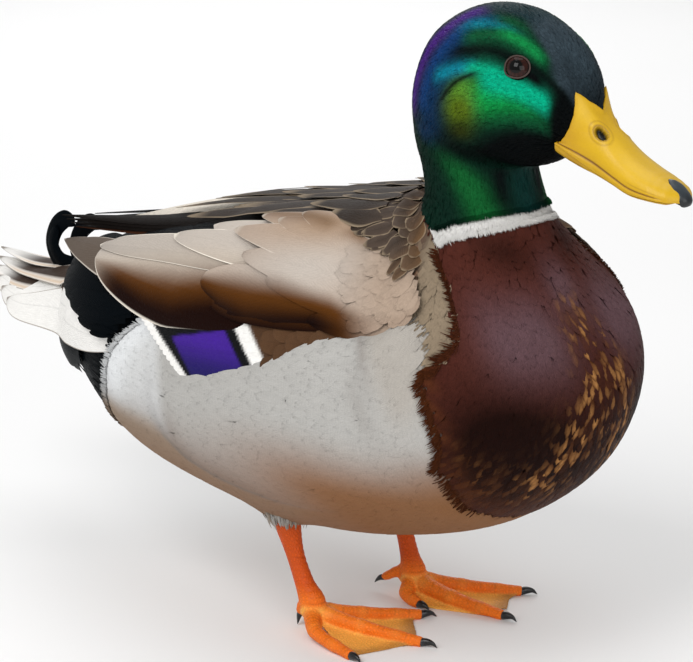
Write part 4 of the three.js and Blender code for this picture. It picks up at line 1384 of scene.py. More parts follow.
        def shoulder_ground(s, t):
            """The scapulars' ground, raised behind and sunk in front."""
            return scapular_ground(s, t) + np.interp(s, [7.2, 8.0, 8.8, 9.2], [.9, 0, -1.2, -2.2])

        for side, flip in (("R", False), ("L", True)):
            made = tufts(2.8, on_shoulder, 9.0, 2.5, 38, flip=flip, height=shoulder_ground, tint=paler,
                         rows=8, cols=5, camber=.15, rise=.3, sink=.7, blunt=.5, point=.15, vary=.05,
                         layer=.25, deep=.5)
            feathers(f"shoulder_{side}", [made], "vane", soft=True)

        def back_ground(s, t):
            """Close over the skin in front, over the scapulars behind."""
            close = skin_height(s, t) + 1.4 - .9 * ramp(9.0, 9.8, s)
            return close + np.maximum(scapular_ground(s, t) + .5 - close, 0) * fall(8.6, 9.4, s)

        def length(s, t):
            """The room to the rear limit and 4.5, at most 19 behind and 11 in front."""
            return np.minimum(room(s, t, edge(MANTLE_LINE, t)) + 4.5, 11 + 8 * fall(8.0, 9.6, s))

        def wide(s, t):
            """Half width in proportion to the length."""
            return length(s, t) * .29

        looks = {"height": back_ground, "tint": back_colour, "rim": .7, "camber": .2, "sink": .5, "point": .1}
        blades_list = rows_of([
            [6.8, 3, 4.4, 4, 7, 7, .5, .1, .7, 0, .4], [7.1, 9, 4.85, 10, 6.5, 6.5, .5, .1, .7, 0, .8],
            [6.4, 15, 3.6, 24.5, 6, 5, .5, .1, .5, 0, .3], [7.5, 5, 5.6, 6, 6, 6, .5, .1, .8, 0, 1.0],
            [7.6, 14, 5.8, 15, 6, 6, .5, .1, .8, 0, 1.2], [7.5, 22, 5.5, 21.5, 6, 6, .5, .1, .8, 0, 1.0],
            [7.0, 29, 4.9, 26.5, 6, 6, .5, .1, .6, 0, .2], [7.8, 31, 6.1, 27, 6, 6, .5, .1, .6, 0, .6]],
            (1.5, .7))
        blades_list.pop("rim")
        blades_list.pop("point")
        made = [blades(seed=39, rows=30, cols=11, rise=.8, **dict(looks, **blades_list))]
        made.append(tufts(4.2, on_mantle, length, wide, 37, loose=.05, rows=12, cols=7, blunt=.45, rise=.3,
                          layer=.1, curve=(1.6, .6), **looks))
        made += [mirrored(b) for b in made]
        feathers("mantle", made, "mantle")
        return {"FINISHED"}


# ---------------------------------------------------------------- bill and eyes
# Upper bill, base to tip: x, height of the mouth's edge, crest over it, half width, squareness.
BILL = np.array([
    [106, 217.2, 18.8, 7.5, 2.2], [116, 212.8, 21.2, 9, 2.3], [124, 209.7, 18.8, 9.3, 2.4],
    [132, 207.2, 15.1, 9.6, 2.5], [140, 204.7, 11.2, 10, 2.6], [148, 202.3, 9.3, 10.4, 2.6],
    [156, 201.5, 7, 9.9, 2.5], [162, 201, 5.2, 8, 2.4], [165, 200.8, 3.8, 5.4, 2.2],
    [166.6, 200.6, 2.4, 2.8, 2.0]])
# Where the bill's base lies on the head: degrees over the bill from the gape, station, degrees.
BILL_BASE = np.array([[0, 19.1, 125], [12, 19.62, 118], [25, 19.85, 100], [45, 19.9, 80], [58, 19.8, 60],
                      [66, 19.62, 49], [72, 19.42, 42], [80, 19.87, 24], [90, 20.2, 0]])
NOSTRIL = np.array([131.3, -6.2, 221.7])
# The nail, over the tip and round it: x and z of its outside, x and z of its inside, half width, how
# much its sides fall, and how much they lie back.
NAIL = np.array([
    [158.6, 208.1, 158.6, 207.2, .9, .02, 0], [160.5, 207.75, 160.5, 206.6, 2.7, .025, .01],
    [163.2, 206.5, 163, 205.3, 3.9, .03, .03], [166, 204.7, 165.4, 203.5, 4.3, .04, .08],
    [167.9, 202.9, 166.6, 202.2, 4.4, .03, .12], [168.5, 201.2, 166.9, 201.2, 4.2, .0, .13],
    [167.9, 199.7, 166.6, 200.5, 3.5, .0, .13], [166.4, 198.9, 165.8, 200.2, 2.5, -.02, .1],
    [164.8, 198.9, 164.8, 199.9, 1.4, -.02, 0]])


def bill_arc(row, over, upper=True):
    """A point of the bill at a row of its table, over radians from the right edge to the left."""
    x, mouth, crest, half, square = np.moveaxis(spline(BILL, row), -1, 0)
    c, k = np.cos(over), np.clip(np.sin(over), 0, 1)
    if upper:
        start, high = mouth + .25, crest
    else:
        start, high, half = mouth - .25, -(1.0 + .9 * (1 - row / 9)), half - .8
    return np.stack([x, -half * power(c, 2 / square), start + high * k ** (2 / square)], -1)


def surface_normals(points):
    """The way a grid of points faces, from its own slopes, rows then columns."""
    return unit(np.cross(np.gradient(points, axis=0), np.gradient(points, axis=1)))


class MALLARD_OT_bill(bpy.types.Operator):
    """Upper bill with nostrils and lip, lower bill, and the nail"""
    bl_idname = "mallard.bill"
    bl_label = "Bill"

    def execute(self, context):
        rows, cols = 170, 121
        a = np.linspace(0, 1, rows)[:, None] * np.ones((1, cols))
        w = np.linspace(0, 1, cols)
        over = (np.pi * (w - .11 * np.sin(TAU * w)))[None] * np.ones((rows, 1))
        fold = np.degrees(np.minimum(over, np.pi - over))
        side = np.where(over <= np.pi / 2, 1.0, -1.0)
        base_s = np.interp(fold, BILL_BASE[:, 0], BILL_BASE[:, 1])
        base_t = np.interp(fold, BILL_BASE[:, 0], BILL_BASE[:, 2])
        start = on_body(base_s, np.radians(base_t) * side, np.full(a.shape, .35))
        join = .3
        near = bill_arc(np.full(a.shape, 2.9), over)
        w = np.clip(a / join, 0, 1)
        straight = start + (near - start) * w[..., None]
        formed = bill_arc(1.2 + (2.9 - 1.2) * w, over)
        root = straight + (formed - straight) * (ramp(0, 1, w) * .6)[..., None]
        tip = bill_arc(2.9 + (9 - 2.9) * ((a - join) / (1 - join)).clip(0, 1) ** .9, over)
        p = np.where((a <= join)[..., None], root, tip)
        out = surface_normals(p)
        out *= np.sign((out * (p - p.mean(axis=1, keepdims=True))).sum(-1).mean())
        x = p[..., 0]
        lip = .26 * blob(fold, 0, 3, 0, 2.2, 9) - .34 * blob(fold, 0, 7.4, 0, 1.8, 9)
        lip = lip * ramp(112, 118, x) * fall(157, 163, x)
        flip = np.stack([np.ones_like(x), side, np.ones_like(x)], -1)
        q = p * flip - NOSTRIL
        way = unit(np.array([.86, -.06, -.51]))
        along = (q * way).sum(-1)
        off = np.sqrt(np.maximum((q * q).sum(-1) - along ** 2, 0))
        d = np.sqrt((along / 3.2) ** 2 + (off / 2.35) ** 2)
        hole = fall(.78, 1.0, d)
        rim = bell(d, 1.35, .2)
        ridge = .5 * blob(fold, x, 58, 124, 9, 7) - .25 * blob(fold, x, 62, 146, 12, 16)
        fine = .05 * np.sin(x * 1.7 + fold * .05) * ramp(150, 160, x)
        p = p + out * (lip + ridge + fine + .22 * rim - 2.6 * hole)[..., None]
        c = fill("bill", x.shape)
        # Painted highlight on the upper sides: one broad patch and one small patch near the base.
        c = lay(c, "bill_pale", blob(x, fold, 146, 60, 14, 22) * .5 + blob(x, fold, 122, 62, 5, 10) * .5)
        # Painted shade in darker ochre: low on the sides towards the base, along the lower edges and at the
        # very base, with a faint ochre spot on top near the base as well.
        c = lay(c, "bill_ochre", blob(x, fold, 118, 30, 7, 26) * .75 + blob(x, fold, 128, 82, 5, 9) * .35)
        c = lay(c, "bill_ochre", fall(9, 26, fold) * .35 + fall(0, .05, a) * .5)
        # Painted shade: a dark line in the groove above the lip, and a faint one near the tip.
        groove = bell(fold, 7.2, 1.3)
        groove = groove + .35 * bell(fold, 17, 1.2) * ramp(144, 150, x)
        c = lay(c, "umber_rim", groove * ramp(109, 114, x) * fall(157, 163, x) * .95)
        # Painted shade: dark rings in the creases round the nostril, and black inside its pit.
        c = lay(c, "umber_rim", bell(d, 1.12, .12) * .6 + bell(d, 1.7, .12) * .3)
        c = lay(c, "pupil", hole)
        back = p[:1] + (p[:1].mean(axis=1, keepdims=True) - p[:1]) * .35 + np.array([-3.0, 0, -1.0])
        p = np.concatenate([back, p])
        c = np.concatenate([c[:1], c])
        floor = np.linspace(1, -1, 12)[1:-1]
        under = p[:, :1] * (.5 + floor / 2)[None, :, None] + p[:, -1:] * (.5 - floor / 2)[None, :, None]
        p = np.concatenate([p, under[:, ::-1]], 1)
        shade = fill("bill_ochre", under.shape[:-1])
        c = np.concatenate([c, shade], 1)
        self.shell("bill_upper_horn", p, c, "bill_horn", "bill_upper")

        edge_line = p[1:130:2, 0]
        swing = over[:1, ::3]
        deep = 1.1 + 4.0 * fall(0, .4, a[:129:2, :1])
        low = np.stack([edge_line[:, :1] + 0 * swing, (edge_line[:, 1:2] + .35) * np.cos(swing),
                        edge_line[:, 2:] - .3 - deep * np.sin(swing).clip(0, 1) ** .6], -1)
        top = np.linspace(-1, 1, 10)[1:-1]
        lid_row = low[:, :1] * (.5 - top / 2)[None, :, None] + low[:, -1:] * (.5 + top / 2)[None, :, None]
        low = np.concatenate([low, lid_row[:, ::-1]], 1)
        c = fill("bill_ochre", low.shape[:-1]) * .9
        c = lay(c, "bill", ramp(-.6, .2, np.sin(low[..., 0] * .4)) * .3)
        self.shell("bill_lower_horn", low[:, ::-1], c, "bill_horn", "bill_lower")

        row = spline(NAIL, np.linspace(0, len(NAIL) - 1, 60))[:, None]
        v = np.linspace(-1, 1, 31)[None]
        wide = row[..., 4] * v
        back, drop = row[..., 6] * wide ** 2, row[..., 5] * wide ** 2
        outer = np.stack([row[..., 0] - back, wide, row[..., 1] - drop], -1)
        inner = np.stack([row[..., 2] - back, wide, row[..., 3] - drop], -1)
        outer = inner + (outer - inner) * (1 - v ** 4)[..., None]
        p = np.concatenate([outer, inner[:, ::-1] + np.array([0, 0, -.02])], 1)
        wide = p[..., 1]
        c = fill("nail", p.shape[:-1])
        c = lay(c, "crown_rear", blob(wide, p[..., 0], 0, 163, 2.2, 2.0) * .4)
        c = lay(c, "pupil", fall(200.5, 205.5, p[..., 2]) * .85)
        self.shell("nail_horn", p, c, "nail_horn", "bill_nail")
        return {"FINISHED"}

    def shell(self, name, points, rgb, slot, node):
        """A closed grid as a piece with its colours."""
        faces = tube_faces(1, *points.shape[:2])
        flat = points.reshape(-1, 3)
        q = faces[0][: 4000]
        area = np.cross(flat[q[:, 1]] - flat[q[:, 0]], flat[q[:, 3]] - flat[q[:, 0]])
        middle = points.mean(axis=1)[q[:, 0] // points.shape[1]]
        if ((flat[q[:, 0]] - middle) * area).sum() < 0:
            faces = [f[:, ::-1] for f in faces]
        piece = put(name, flat, faces, rgb.reshape(-1, 3), sharp=70)
        finish(piece, slot, [node])


class MALLARD_OT_eyes(bpy.types.Operator):
    """Dark glossy eyes with iris and pupil"""
    bl_idname = "mallard.eyes"
    bl_label = "Eyes"

    def execute(self, context):
        for name, side in (("R", 1.0), ("L", -1.0)):
            middle, out, front, up = ball_axes(side)
            a = np.linspace(.004, np.pi - .004, 60)[:, None] * np.ones((1, 72))
            b = np.linspace(0, TAU, 72, endpoint=False)[None] * np.ones((60, 1))
            deg = np.degrees(a)
            radius = EYE["radius"] + .25 * np.exp(-(deg / 30) ** 2)
            radial = front * np.cos(b)[..., None] + up * np.sin(b)[..., None]
            p = middle + (out * np.cos(a)[..., None] + radial * np.sin(a)[..., None]) * radius[..., None]
            iris = fill("iris", p.shape[:-1])
            rays = .75 + .25 * np.sin(b * 37) * np.sin(b * 23 + 1)
            c = lay(iris * rays[..., None], "pupil", fall(25, 30, deg))
            c = lay(c, "pupil", ramp(46, 54, deg))
            quads, caps = tube_faces(1, 60, 72)
            faces = [quads, caps]
            if side > 0:
                faces = [quads[:, ::-1], caps[:, ::-1]]
            piece = put(f"eyeball_{name}", p.reshape(-1, 3), faces, c.reshape(-1, 3))
            finish(piece, "eye", [f"eye_{name}"])
        return {"FINISHED"}


# ---------------------------------------------------------------- legs and feet
LEGS = {
    "R": {"line": [[-15, -26.4, 52], [-13.5, -26.4, 44], [-9, -26.2, 30], [-3, -26.4, 18], [1.2, -26.4, 11.5],
                   [1.8, -26.4, 7]],
          "toes": {"inner": [[1.8, -26.4], [13, -8], [25.3, 12.1]],
                   "middle": [[1.8, -26.4], [24, -19], [46.8, -9.9]],
                   "outer": [[1.8, -26.4], [14, -36.5], [37, -40]],
                   "hind": [[-1, -27.5], [-3, -28], [-3.8, -28.2]]}},
    "L": {"line": [[-1, 26, 52], [-.5, 26, 44], [1.5, 26.5, 30], [3.4, 28, 18], [4.4, 28.9, 11.5],
                   [4.6, 28.9, 7]],
          "toes": {"inner": [[4.6, 28.9], [9, 20.5], [16.5, 20]],
                   "middle": [[4.6, 28.9], [27, 30.5], [49.6, 34.9]],
                   "outer": [[4.6, 28.9], [20, 44], [36.2, 61.1]],
                   "hind": [[2, 27.6], [-3, 25.6], [-8, 24.2]]}},
}
LEG_RADII = [7.3, 6.4, 4.1, 4.3, 5.9, 5.2]
TOE_RADII = [3.9, 2.9, 2.2]
TOE_HEIGHTS = [7.3, 4.2, 1.7]
HIND_RADII = [2.4, 2.1, 1.6]
HIND_HEIGHTS = {"R": [11, 8.5, 5.5], "L": [12, 9, 6]}


def tube(path, radii, rows, ring, flat=1.0, wide=1.0):
    """A round bar along a path: rings square to it, wider across than high by the two factors."""
    path, radii = np.array(path, float), np.array(radii, float)
    t = np.linspace(0, len(path) - 1, rows)
    middle = spline(path, t)
    way = unit(np.gradient(middle, axis=0))
    hint = np.where(np.abs(way[:, 2:3]) > .8, np.array([[1.0, 0, 0]]), np.array([[0, 0, 1.0]]))
    side = unit(np.cross(hint, way))
    up = np.cross(side, way)
    a = np.linspace(0, TAU, ring, endpoint=False)[None, :, None]
    r = spline(radii[:, None], t)[:, :, None]
    return middle[:, None] + r * (side[:, None] * np.cos(a) * wide + up[:, None] * np.sin(a) * flat)


def closed(points):
    """Points and faces of one closed tube."""
    rows, ring = points.shape[:2]
    quads, caps = tube_faces(1, rows, ring)
    return points.reshape(-1, 3), quads, caps


def fused(shapes, voxel, rounds):
    """Tubes and sheets grown together into one skin: remeshed on a fine grid and then smoothed."""
    points, quads, caps, first = [], [], {}, 0
    for p, q, k in shapes:
        points.append(p)
        quads.append(q + first)
        caps.setdefault(k.shape[1], []).append(k + first)
        first += len(p)
    faces = [np.concatenate(quads)] + [np.concatenate(k) for k in caps.values()]
    rough = put("rough", np.concatenate(points), faces)
    remesh = rough.modifiers.new("Remesh", "REMESH")
    remesh.mode = "VOXEL"
    remesh.voxel_size = voxel * MM
    relax = rough.modifiers.new("Smooth", "SMOOTH")
    relax.factor = .5
    relax.iterations = rounds
    made = rough.evaluated_get(bpy.context.evaluated_depsgraph_get()).to_mesh()
    co = np.empty(len(made.vertices) * 3, np.float32)
    made.vertices.foreach_get("co", co)
    normals = np.empty(len(made.vertices) * 3, np.float32)
    made.vertices.foreach_get("normal", normals)
    loops = np.empty(len(made.loops), np.int32)
    made.loops.foreach_get("vertex_index", loops)
    mesh = rough.data
    bpy.data.objects.remove(rough)
    bpy.data.meshes.remove(mesh)
    co = co.reshape(-1, 3) / MM - np.array([ORIGIN_X, 0, 0])
    return co.astype(float), normals.reshape(-1, 3).astype(float), loops.reshape(-1, 4)


def web_sheet(toes):
    """The web: a thin sheet from the inner toe over the middle one to the outer, its free edge drawn
    in between the toe ends and sagging a little between the toes."""
    ends = np.array([toes[k][2] for k in ("inner", "middle", "outer")], float)
    root = np.array(toes["middle"][0], float)
    f = np.linspace(0, 1, 61)
    k = np.minimum((f * 2).astype(int), 1)
    w = (f * 2 - k)[:, None]
    a, b = ends[k], ends[k + 1]
    control = (a + b) / 2 * .74 + root * .26
    rim = a * (1 - w) ** 2 + 2 * w * (1 - w) * control + b * w ** 2
    r = np.linspace(.05, .985, 40)[:, None, None]
    flat = root + (rim - root)[None] * r
    sag = np.sin(np.pi * w[:, 0])[None] * np.ones((40, 1))
    high = 1.4 + 5.2 * (1 - r[..., 0]) ** 1.6 - .5 * sag
    upper = np.concatenate([flat, high[..., None] + 0 * flat[..., :1]], -1)
    lower = upper - np.array([0, 0, 1.15])
    ring = np.concatenate([upper, lower[:, ::-1]], 1)
    return closed(ring[:, ::-1])


def nearest(points, path):
    """For each point, how far along a path its nearest place is, and how far off."""
    path = np.array(path, float)
    t = np.linspace(0, len(path) - 1, 80)
    line = spline(path, t)
    run = np.concatenate([[0], np.cumsum(np.linalg.norm(np.diff(line, axis=0), axis=1))])
    gap = np.linalg.norm(points[:, None, :line.shape[1]] - line[None], axis=2)
    i = gap.argmin(1)
    return run[i], gap[np.arange(len(i)), i], run[-1]


class MALLARD_OT_feet(bpy.types.Operator):
    """Scaly legs, webbed feet and claws"""
    bl_idname = "mallard.feet"
    bl_label = "Legs, feet and claws"

    def execute(self, context):
        for side, leg in LEGS.items():
            toes = leg["toes"]
            shapes = [closed(tube(leg["line"], LEG_RADII, 40, 20, 1.0, .86)), web_sheet(toes)]
            knuckle = np.array(toes["middle"][0] + [8.2])
            joint = [knuckle - [5.5, 0, .5], knuckle, knuckle + [6, 0, -1]]
            shapes.append(closed(tube(joint, [3.2, 5.4, 3.0], 16, 16)))
            lines = {}
            for name, path in toes.items():
                hind = name == "hind"
                radii = HIND_RADII if hind else TOE_RADII
                heights = HIND_HEIGHTS[side] if hind else TOE_HEIGHTS
                lines[name] = [[x, y, z] for (x, y), z in zip(path, heights)]
                bar = tube(lines[name], radii, 60, 16)
                reach = np.linspace(0, 1, 60)[:, None, None]
                middle = bar.mean(axis=1, keepdims=True)
                joints = 1 + .10 * bell(np.mod(reach * 3.2, 1), .5, .16)
                shapes.append(closed(middle + (bar - middle) * joints))
            p, out, quads = fused(shapes, .62, 5)
            c = fill("leg", p.shape[:-1])
            lift = np.zeros(len(p))
            on_toe = np.zeros(len(p))
            for name, line in lines.items():
                run, off, full = nearest(p, np.array(line))
                size = np.interp(run, [0, full], [4.6, 3.0])
                here = fall(size * .8, size * 1.15, off) * ramp(.1, .5, out[:, 2])
                lift += here * .16 * (np.abs(np.sin(run * np.pi / 2.0)) ** .35 - .7)
                c = lay(c, c * .72, here * fall(.0, .3, np.abs(np.sin(run * np.pi / 2.0))) * .8)
                on_toe = np.maximum(on_toe, fall(size * .7, size * 1.1, off))
            shank = ramp(9, 12, p[:, 2])
            front = ramp(.1, .5, out[:, 0])
            scute = np.abs(np.sin(p[:, 2] * np.pi / 2.4))
            lift += shank * front * .30 * (scute ** .35 - .7)
            c = lay(c, c * .6, shank * front * fall(.0, .3, scute) * .8)
            c = lay(c, "leg_red", ramp(11, 20, p[:, 2]) * .8)
            web = (1 - on_toe) * (1 - shank)
            c = lay(c, "web", web)
            root = np.array(toes["middle"][0], float)
            ends = np.array([toes[k][2] for k in ("inner", "middle", "outer")], float)
            reach = np.linalg.norm(p[:, :2] - root, axis=1)
            bearing = np.arctan2(*(p[:, :2] - root).T[::-1])
            tips = np.arctan2(*(ends - root).T[::-1])
            long = np.linalg.norm(ends - root, axis=1)
            order = np.argsort(tips)
            limit = np.interp(bearing, tips[order], long[order])
            c = lay(c, "web_edge", web * ramp(.70, .92, reach / limit) * .6)
            p = p + out * lift[:, None]
            p[:, 2] = np.maximum(p[:, 2], 0)
            piece = put(f"leg_{side}", p, [quads], c)
            finish(piece, "leg_skin", [f"shank_{side}", f"foot_{side}"])
            for name, line in lines.items():
                self.claw(name, side, np.array(line))
            self.fringe(side, np.array(leg["line"][0]), np.array(leg["line"][1]))
        return {"FINISHED"}

    def claw(self, name, side, line):
        """A claw: a bent cone carrying the toe's line on to the floor."""
        hind = name == "hind"
        long, thick = (5.0, 1.15) if hind else (6.8, 1.5)
        way = unit((line[-1] - line[-2]) * np.array([1, 1, 1.0 if hind else 0]))
        start = line[-1] - way * .3
        start[2] = max(start[2], 1.7)
        up = np.array([0, 0, .7])
        path = [start + way * long * far + up * lift for far, lift in ((0, 0), (.35, .6), (.72, .2), (1, 0))]
        path[-1][2] = max(path[-1][2] - .6, .3) if hind else .3
        p = tube(path, [thick, thick * .9, thick * .52, .12], 26, 16, 1.15)
        c = fill("claw", p.shape[:-1])
        c = lay(c, "crown", fall(0, .3, np.linspace(0, 1, 26))[:, None] * np.ones((1, 16)) * .6)
        flat, quads, caps = closed(p)
        piece = put(f"claw_horn_{name}_{side}", flat, [quads, caps], c.reshape(-1, 3))
        finish(piece, "claw_horn", [f"claw_{name}_{side}"])

    def fringe(self, side, top, low):
        """Short pale feathers round the top of the leg, hanging down over it."""
        rng = np.random.default_rng(61)
        count = 520
        a = rng.uniform(0, TAU, count)
        around = np.stack([np.cos(a), np.sin(a), np.zeros(count)], -1)
        axis = unit(low - top)
        high = rng.uniform(0, 5, count)
        start = low + np.array([0, 0, 1.0]) * high[:, None] + around * rng.uniform(5, 9.5, count)[:, None]
        start[:, 2] += 2.5
        end = start + axis * rng.uniform(4, 7, count)[:, None] - around * 1.2

        def tint(u, v, chance):
            """From belly to flank grey by chance."""
            c = lay(fill("belly_pale", (count,)), "flank", chance)
            return np.broadcast_to(c[:, None, None], (count, len(u), len(v), 3))

        made = free_blades(np.stack([start, (start + end) / 2 + around * .6, end], 1), around, .6, rows=5,
                           cols=3, tint=tint, seed=62, blunt=.2, point=.06)
        feathers(f"fringe_{side}", [made], "soft")


def free_blades(paths, faces_out, half, *, rows, cols, tint, seed, camber=.3, blunt=.6, point=.2, neck=.5,
                rim=0., curve=(2.0, .5)):
    """Closed vanes along free paths in space. faces_out is the way each one's upper side looks."""
    rng = np.random.default_rng(seed)
    count = len(paths)
    u = np.linspace(0, 1, rows)
    v = np.linspace(-1, 1, cols)
    knots = np.moveaxis(paths, 1, 0).reshape(paths.shape[1], -1)
    line = spline(knots, u * (len(knots) - 1)).reshape(rows, count, 3).swapaxes(0, 1)
    way = unit(np.gradient(line, axis=1))
    out = np.broadcast_to(faces_out[:, None] if faces_out.ndim == 2 else faces_out, line.shape)
    side = unit(np.cross(out, way))
    out = np.cross(way, side)
    swell = neck + (1 - neck) * ramp(0, .45, u)
    profile = (swell * closing(u, blunt, point, curve))[None, :, None]
    wide = each(half, count)[:, None, None]
    across = profile * wide * v[None, None]
    arch = camber * (1 - v[None, None] ** 2) * (.3 + .7 * profile)
    points = line[:, :, None] + side[:, :, None] * across[..., None] + out[:, :, None] * arch[..., None]
    chance = rng.random(count)
    rgb = tint(u, v, chance)
    place = np.stack([line[:, 0, 1] / 140, line[:, 0, 0] / 400 + .5], -1)
    made = {"points": points, "normals": np.broadcast_to(out[:, :, None], points.shape), "flip": False}
    return dict(made, **vane_values(u, v, rgb, rim, place))


# ---------------------------------------------------------------- tail
class MALLARD_OT_tail(bpy.types.Operator):
    """White tail fan and the black curled feathers over it"""
    bl_idname = "mallard.tail"
    bl_label = "Tail"

    def execute(self, context):
        # Each tail feather from the middle of the fan outwards: four places on the rump as station,
        # degrees, height, then a free place and the tip in space.
        lines = [
            [[3.0, 4, -3], [2.0, 5, -4], [1.2, 8, -6], [.6, 12, -8], [-190, -1.5, 112.6], [-221, -2, 113.8]],
            [[2.4, 40, -3], [1.7, 48, -.5], [1.1, 56, 1], [.5, 62, 1.4], [-192, -8, 110.4],
             [-218.7, -5, 110.4]],
            [[2.2, 60, -2], [1.6, 66, .5], [1.0, 72, 2], [.5, 76, 2], [-190, -15, 107.8], [-213, -11, 108.5]],
            [[2.6, 70, -1.5], [2.0, 75, 1], [1.4, 80, 2], [.8, 82, 2.5], [-184, -22, 105.8],
             [-205, -17, 106.5]],
            [[2.9, 78, -2.4], [2.3, 82, .3], [1.7, 86, 2.2], [1.1, 88, 3], [-175, -28, 104],
             [-194, -24, 105]],
            [[3.2, 85, -2.6], [2.7, 88, .2], [2.1, 91, 2], [1.5, 93, 3], [-168, -33, 103.3],
             [-182, -31, 103.5]]]
        lines = np.array(lines, float)
        k = np.arange(6.0)
        near = on_body(lines[:, :4, 0], np.radians(lines[:, :4, 1]), lines[:, :4, 2])
        paths = np.concatenate([near, lines[:, 4:]], 1)
        first = slopes(lines[:, 1, 0], np.radians(lines[:, 1, 1]))[2]
        last = unit(np.stack([0 * k, -.13 * k, 1 - .04 * k], -1))
        turn = ramp(.35, .85, np.linspace(0, 1, 40))[None, :, None]
        out = unit(first[:, None] * (1 - turn) + last[:, None] * turn)
        across = np.array([1, -1, 1])
        paths = np.concatenate([paths, paths[1:] * across])
        paths[6:, :, 2] -= .25
        out = np.concatenate([out, out[1:] * across])
        index = np.concatenate([k, k[1:]])

        def tint(u, v, chance):
            """White with a brown middle and a golden line, less of both in the outer feathers."""
            c = fill("tail", (len(index), len(u), len(v)))
            inner = np.interp(index, [0, 1, 2, 3], [1, 1, 1, .0])[:, None, None]
            short = fall(.8, .95, u)[None, :, None]
            streak = fall(.5, .72, np.abs(v))[None, None] * short
            line = bell(np.abs(v), .78, .10)[None, None] * short
            return lay(lay(c, "tail_gold", line * inner * .8), "tail_brown", streak * inner)

        fan = free_blades(paths, out, 10.0, rows=40, cols=13, tint=tint, seed=71, camber=1.0, blunt=.6,
                          point=.06, neck=.6, rim=.8, curve=(1.5, .75))
        feathers("tail_fan", [fan], "tail", ["tail"])

        def black(u, v, chance):
            """The rump's black all over."""
            return fill("rump", (len(chance), len(u), len(v)))

        # Black coverts over the fan's root, and those under the tail.
        spots = np.array([[1.1, 38], [1.0, 52], [1.2, 62], [1.48, 69], [1.9, 73], [2.24, 76.5], [2.62, 81.5],
                          [2.95, 84]])
        tips = np.concatenate([spots, (spots[1:] + spots[:-1]) / 2 + [.12, -.6]])
        reach = np.clip(edge(RUMP_EDGE, tips[:, 1]) - tips[:, 0] - .05, .15, 1.5)[:, None]
        roots = tips + reach * np.array([1, -3.4])
        above = blades(roots, tips, np.clip(reach[:, 0] * 4, 1, 5), flat(2.6), rows=16, cols=7, rise=1.4,
                       sink=1.6, blunt=.4, point=.1, seed=74, vary=.1, tint=one_colour("rump"))
        low_s = np.array([2.4, 2.2, 2.0, 1.8, 1.8, 1.6, 1.4])
        low_t = np.array([104, 112, 122, 134, 146, 160, 172.0])
        start = on_body(low_s, np.radians(low_t), np.full(7, .3))
        end = np.array([[-155, -25, 92], [-158, -22, 91.5], [-160, -19, 91], [-161, -15, 90.5],
                        [-162, -11, 90], [-163, -6, 89.5], [-163, -2, 89.5]])
        out = slopes(low_s, np.radians(low_t))[2]
        path = np.stack([start, (start + end) / 2 + out * 2.5, end], 1)
        below = free_blades(path, out, 6.5, rows=20, cols=7, tint=black, seed=75, camber=.6, blunt=.3,
                            point=.05, curve=(1.2, .9))
        made = [above, below]
        feathers("tail_coverts", made + [mirrored(b) for b in made], "gloss")

        ring = np.array([[-138, 121], [-151, 117.4], [-162.9, 115.9], [-174.9, 116.3], [-180.1, 123],
                         [-177.1, 131.2], [-170.2, 136.5], [-163.5, 136.3]], float)
        for side, sign in (("R", -1.0), ("L", 1.0)):
            lean = np.linspace(5.5, 7.5, len(ring)) * sign
            path = np.stack([ring[:, 0], lean, ring[:, 1] - (4.0 if side == "L" else 0.0)], -1)
            out = np.array([[0, sign, 0]])
            made = [free_blades(path[None], out, 4.4, rows=70, cols=9, tint=black, seed=72, camber=.8,
                                blunt=.72, point=.25, neck=.8)]
            path = path + np.array([2.0, 1.2 * sign, 1.5])
            made.append(free_blades(path[None, :6], out, 3.6, rows=50, cols=9, tint=black, seed=73, camber=.8,
                                    blunt=.7, point=.2, neck=.8))
            feathers(f"curled_{side}", made, "gloss", [f"curl_{side}"])
        return {"FINISHED"}


# ---------------------------------------------------------------- panel
class MallardSizes(bpy.types.PropertyGroup):
    """Sizes that a user would change, in millimetres"""
    body_coat: bpy.props.FloatProperty(name="Body coat", description="Depth of the coat on the body",
                                       default=2.0, min=.5, max=5)
    head_coat: bpy.props.FloatProperty(name="Head coat", description="Depth of the coat on the head",
                                       default=1.0, min=.3, max=3)
    head_feather: bpy.props.FloatProperty(name="Head feather", description="Length of a head feather",
                                          default=3.6, min=1, max=8)
    breast_feather: bpy.props.FloatProperty(name="Breast feather", description="Length of a breast feather",
                                            default=10.0, min=4, max=20)
    flank_feather: bpy.props.FloatProperty(name="Flank feather", description="Length of a flank feather",
                                           default=15.0, min=5, max=30)


def swatch(name):
    """A colour property named like its colour."""
    words = name.replace("_", " ")
    return bpy.props.FloatVectorProperty(name=words.capitalize(), description=f"Colour: {words}", size=3,
                                         subtype="COLOR", default=tuple(linear(PLUMES[name])), min=0, max=1)


MallardColours = type("MallardColours", (bpy.types.PropertyGroup,), {
    "__doc__": "Colours of the plumage",
    "__annotations__": {name: swatch(name) for name in PLUMES},
})


FLOOR = 3000.0  # mm from the middle to an edge
LOOK_AT = np.array([17.5, 0, 118])  # mm
CAMERA = {"turn": 45, "rise": 16, "away": 1.3, "sensor": 36, "lens": 168.31169}  # degrees, m, mm
# Each lamp's place and size in metres, and its power in watts.
LAMPS = {"Key": ((.25, -1.2, 1.25), 1.0, 17), "Fill": ((1.5, -.6, .6), 1.0, 7),
         "Top": ((-.3, .3, 1.6), 1.2, 6), "Rear": ((-1.1, 1.0, .9), 1.0, 7)}


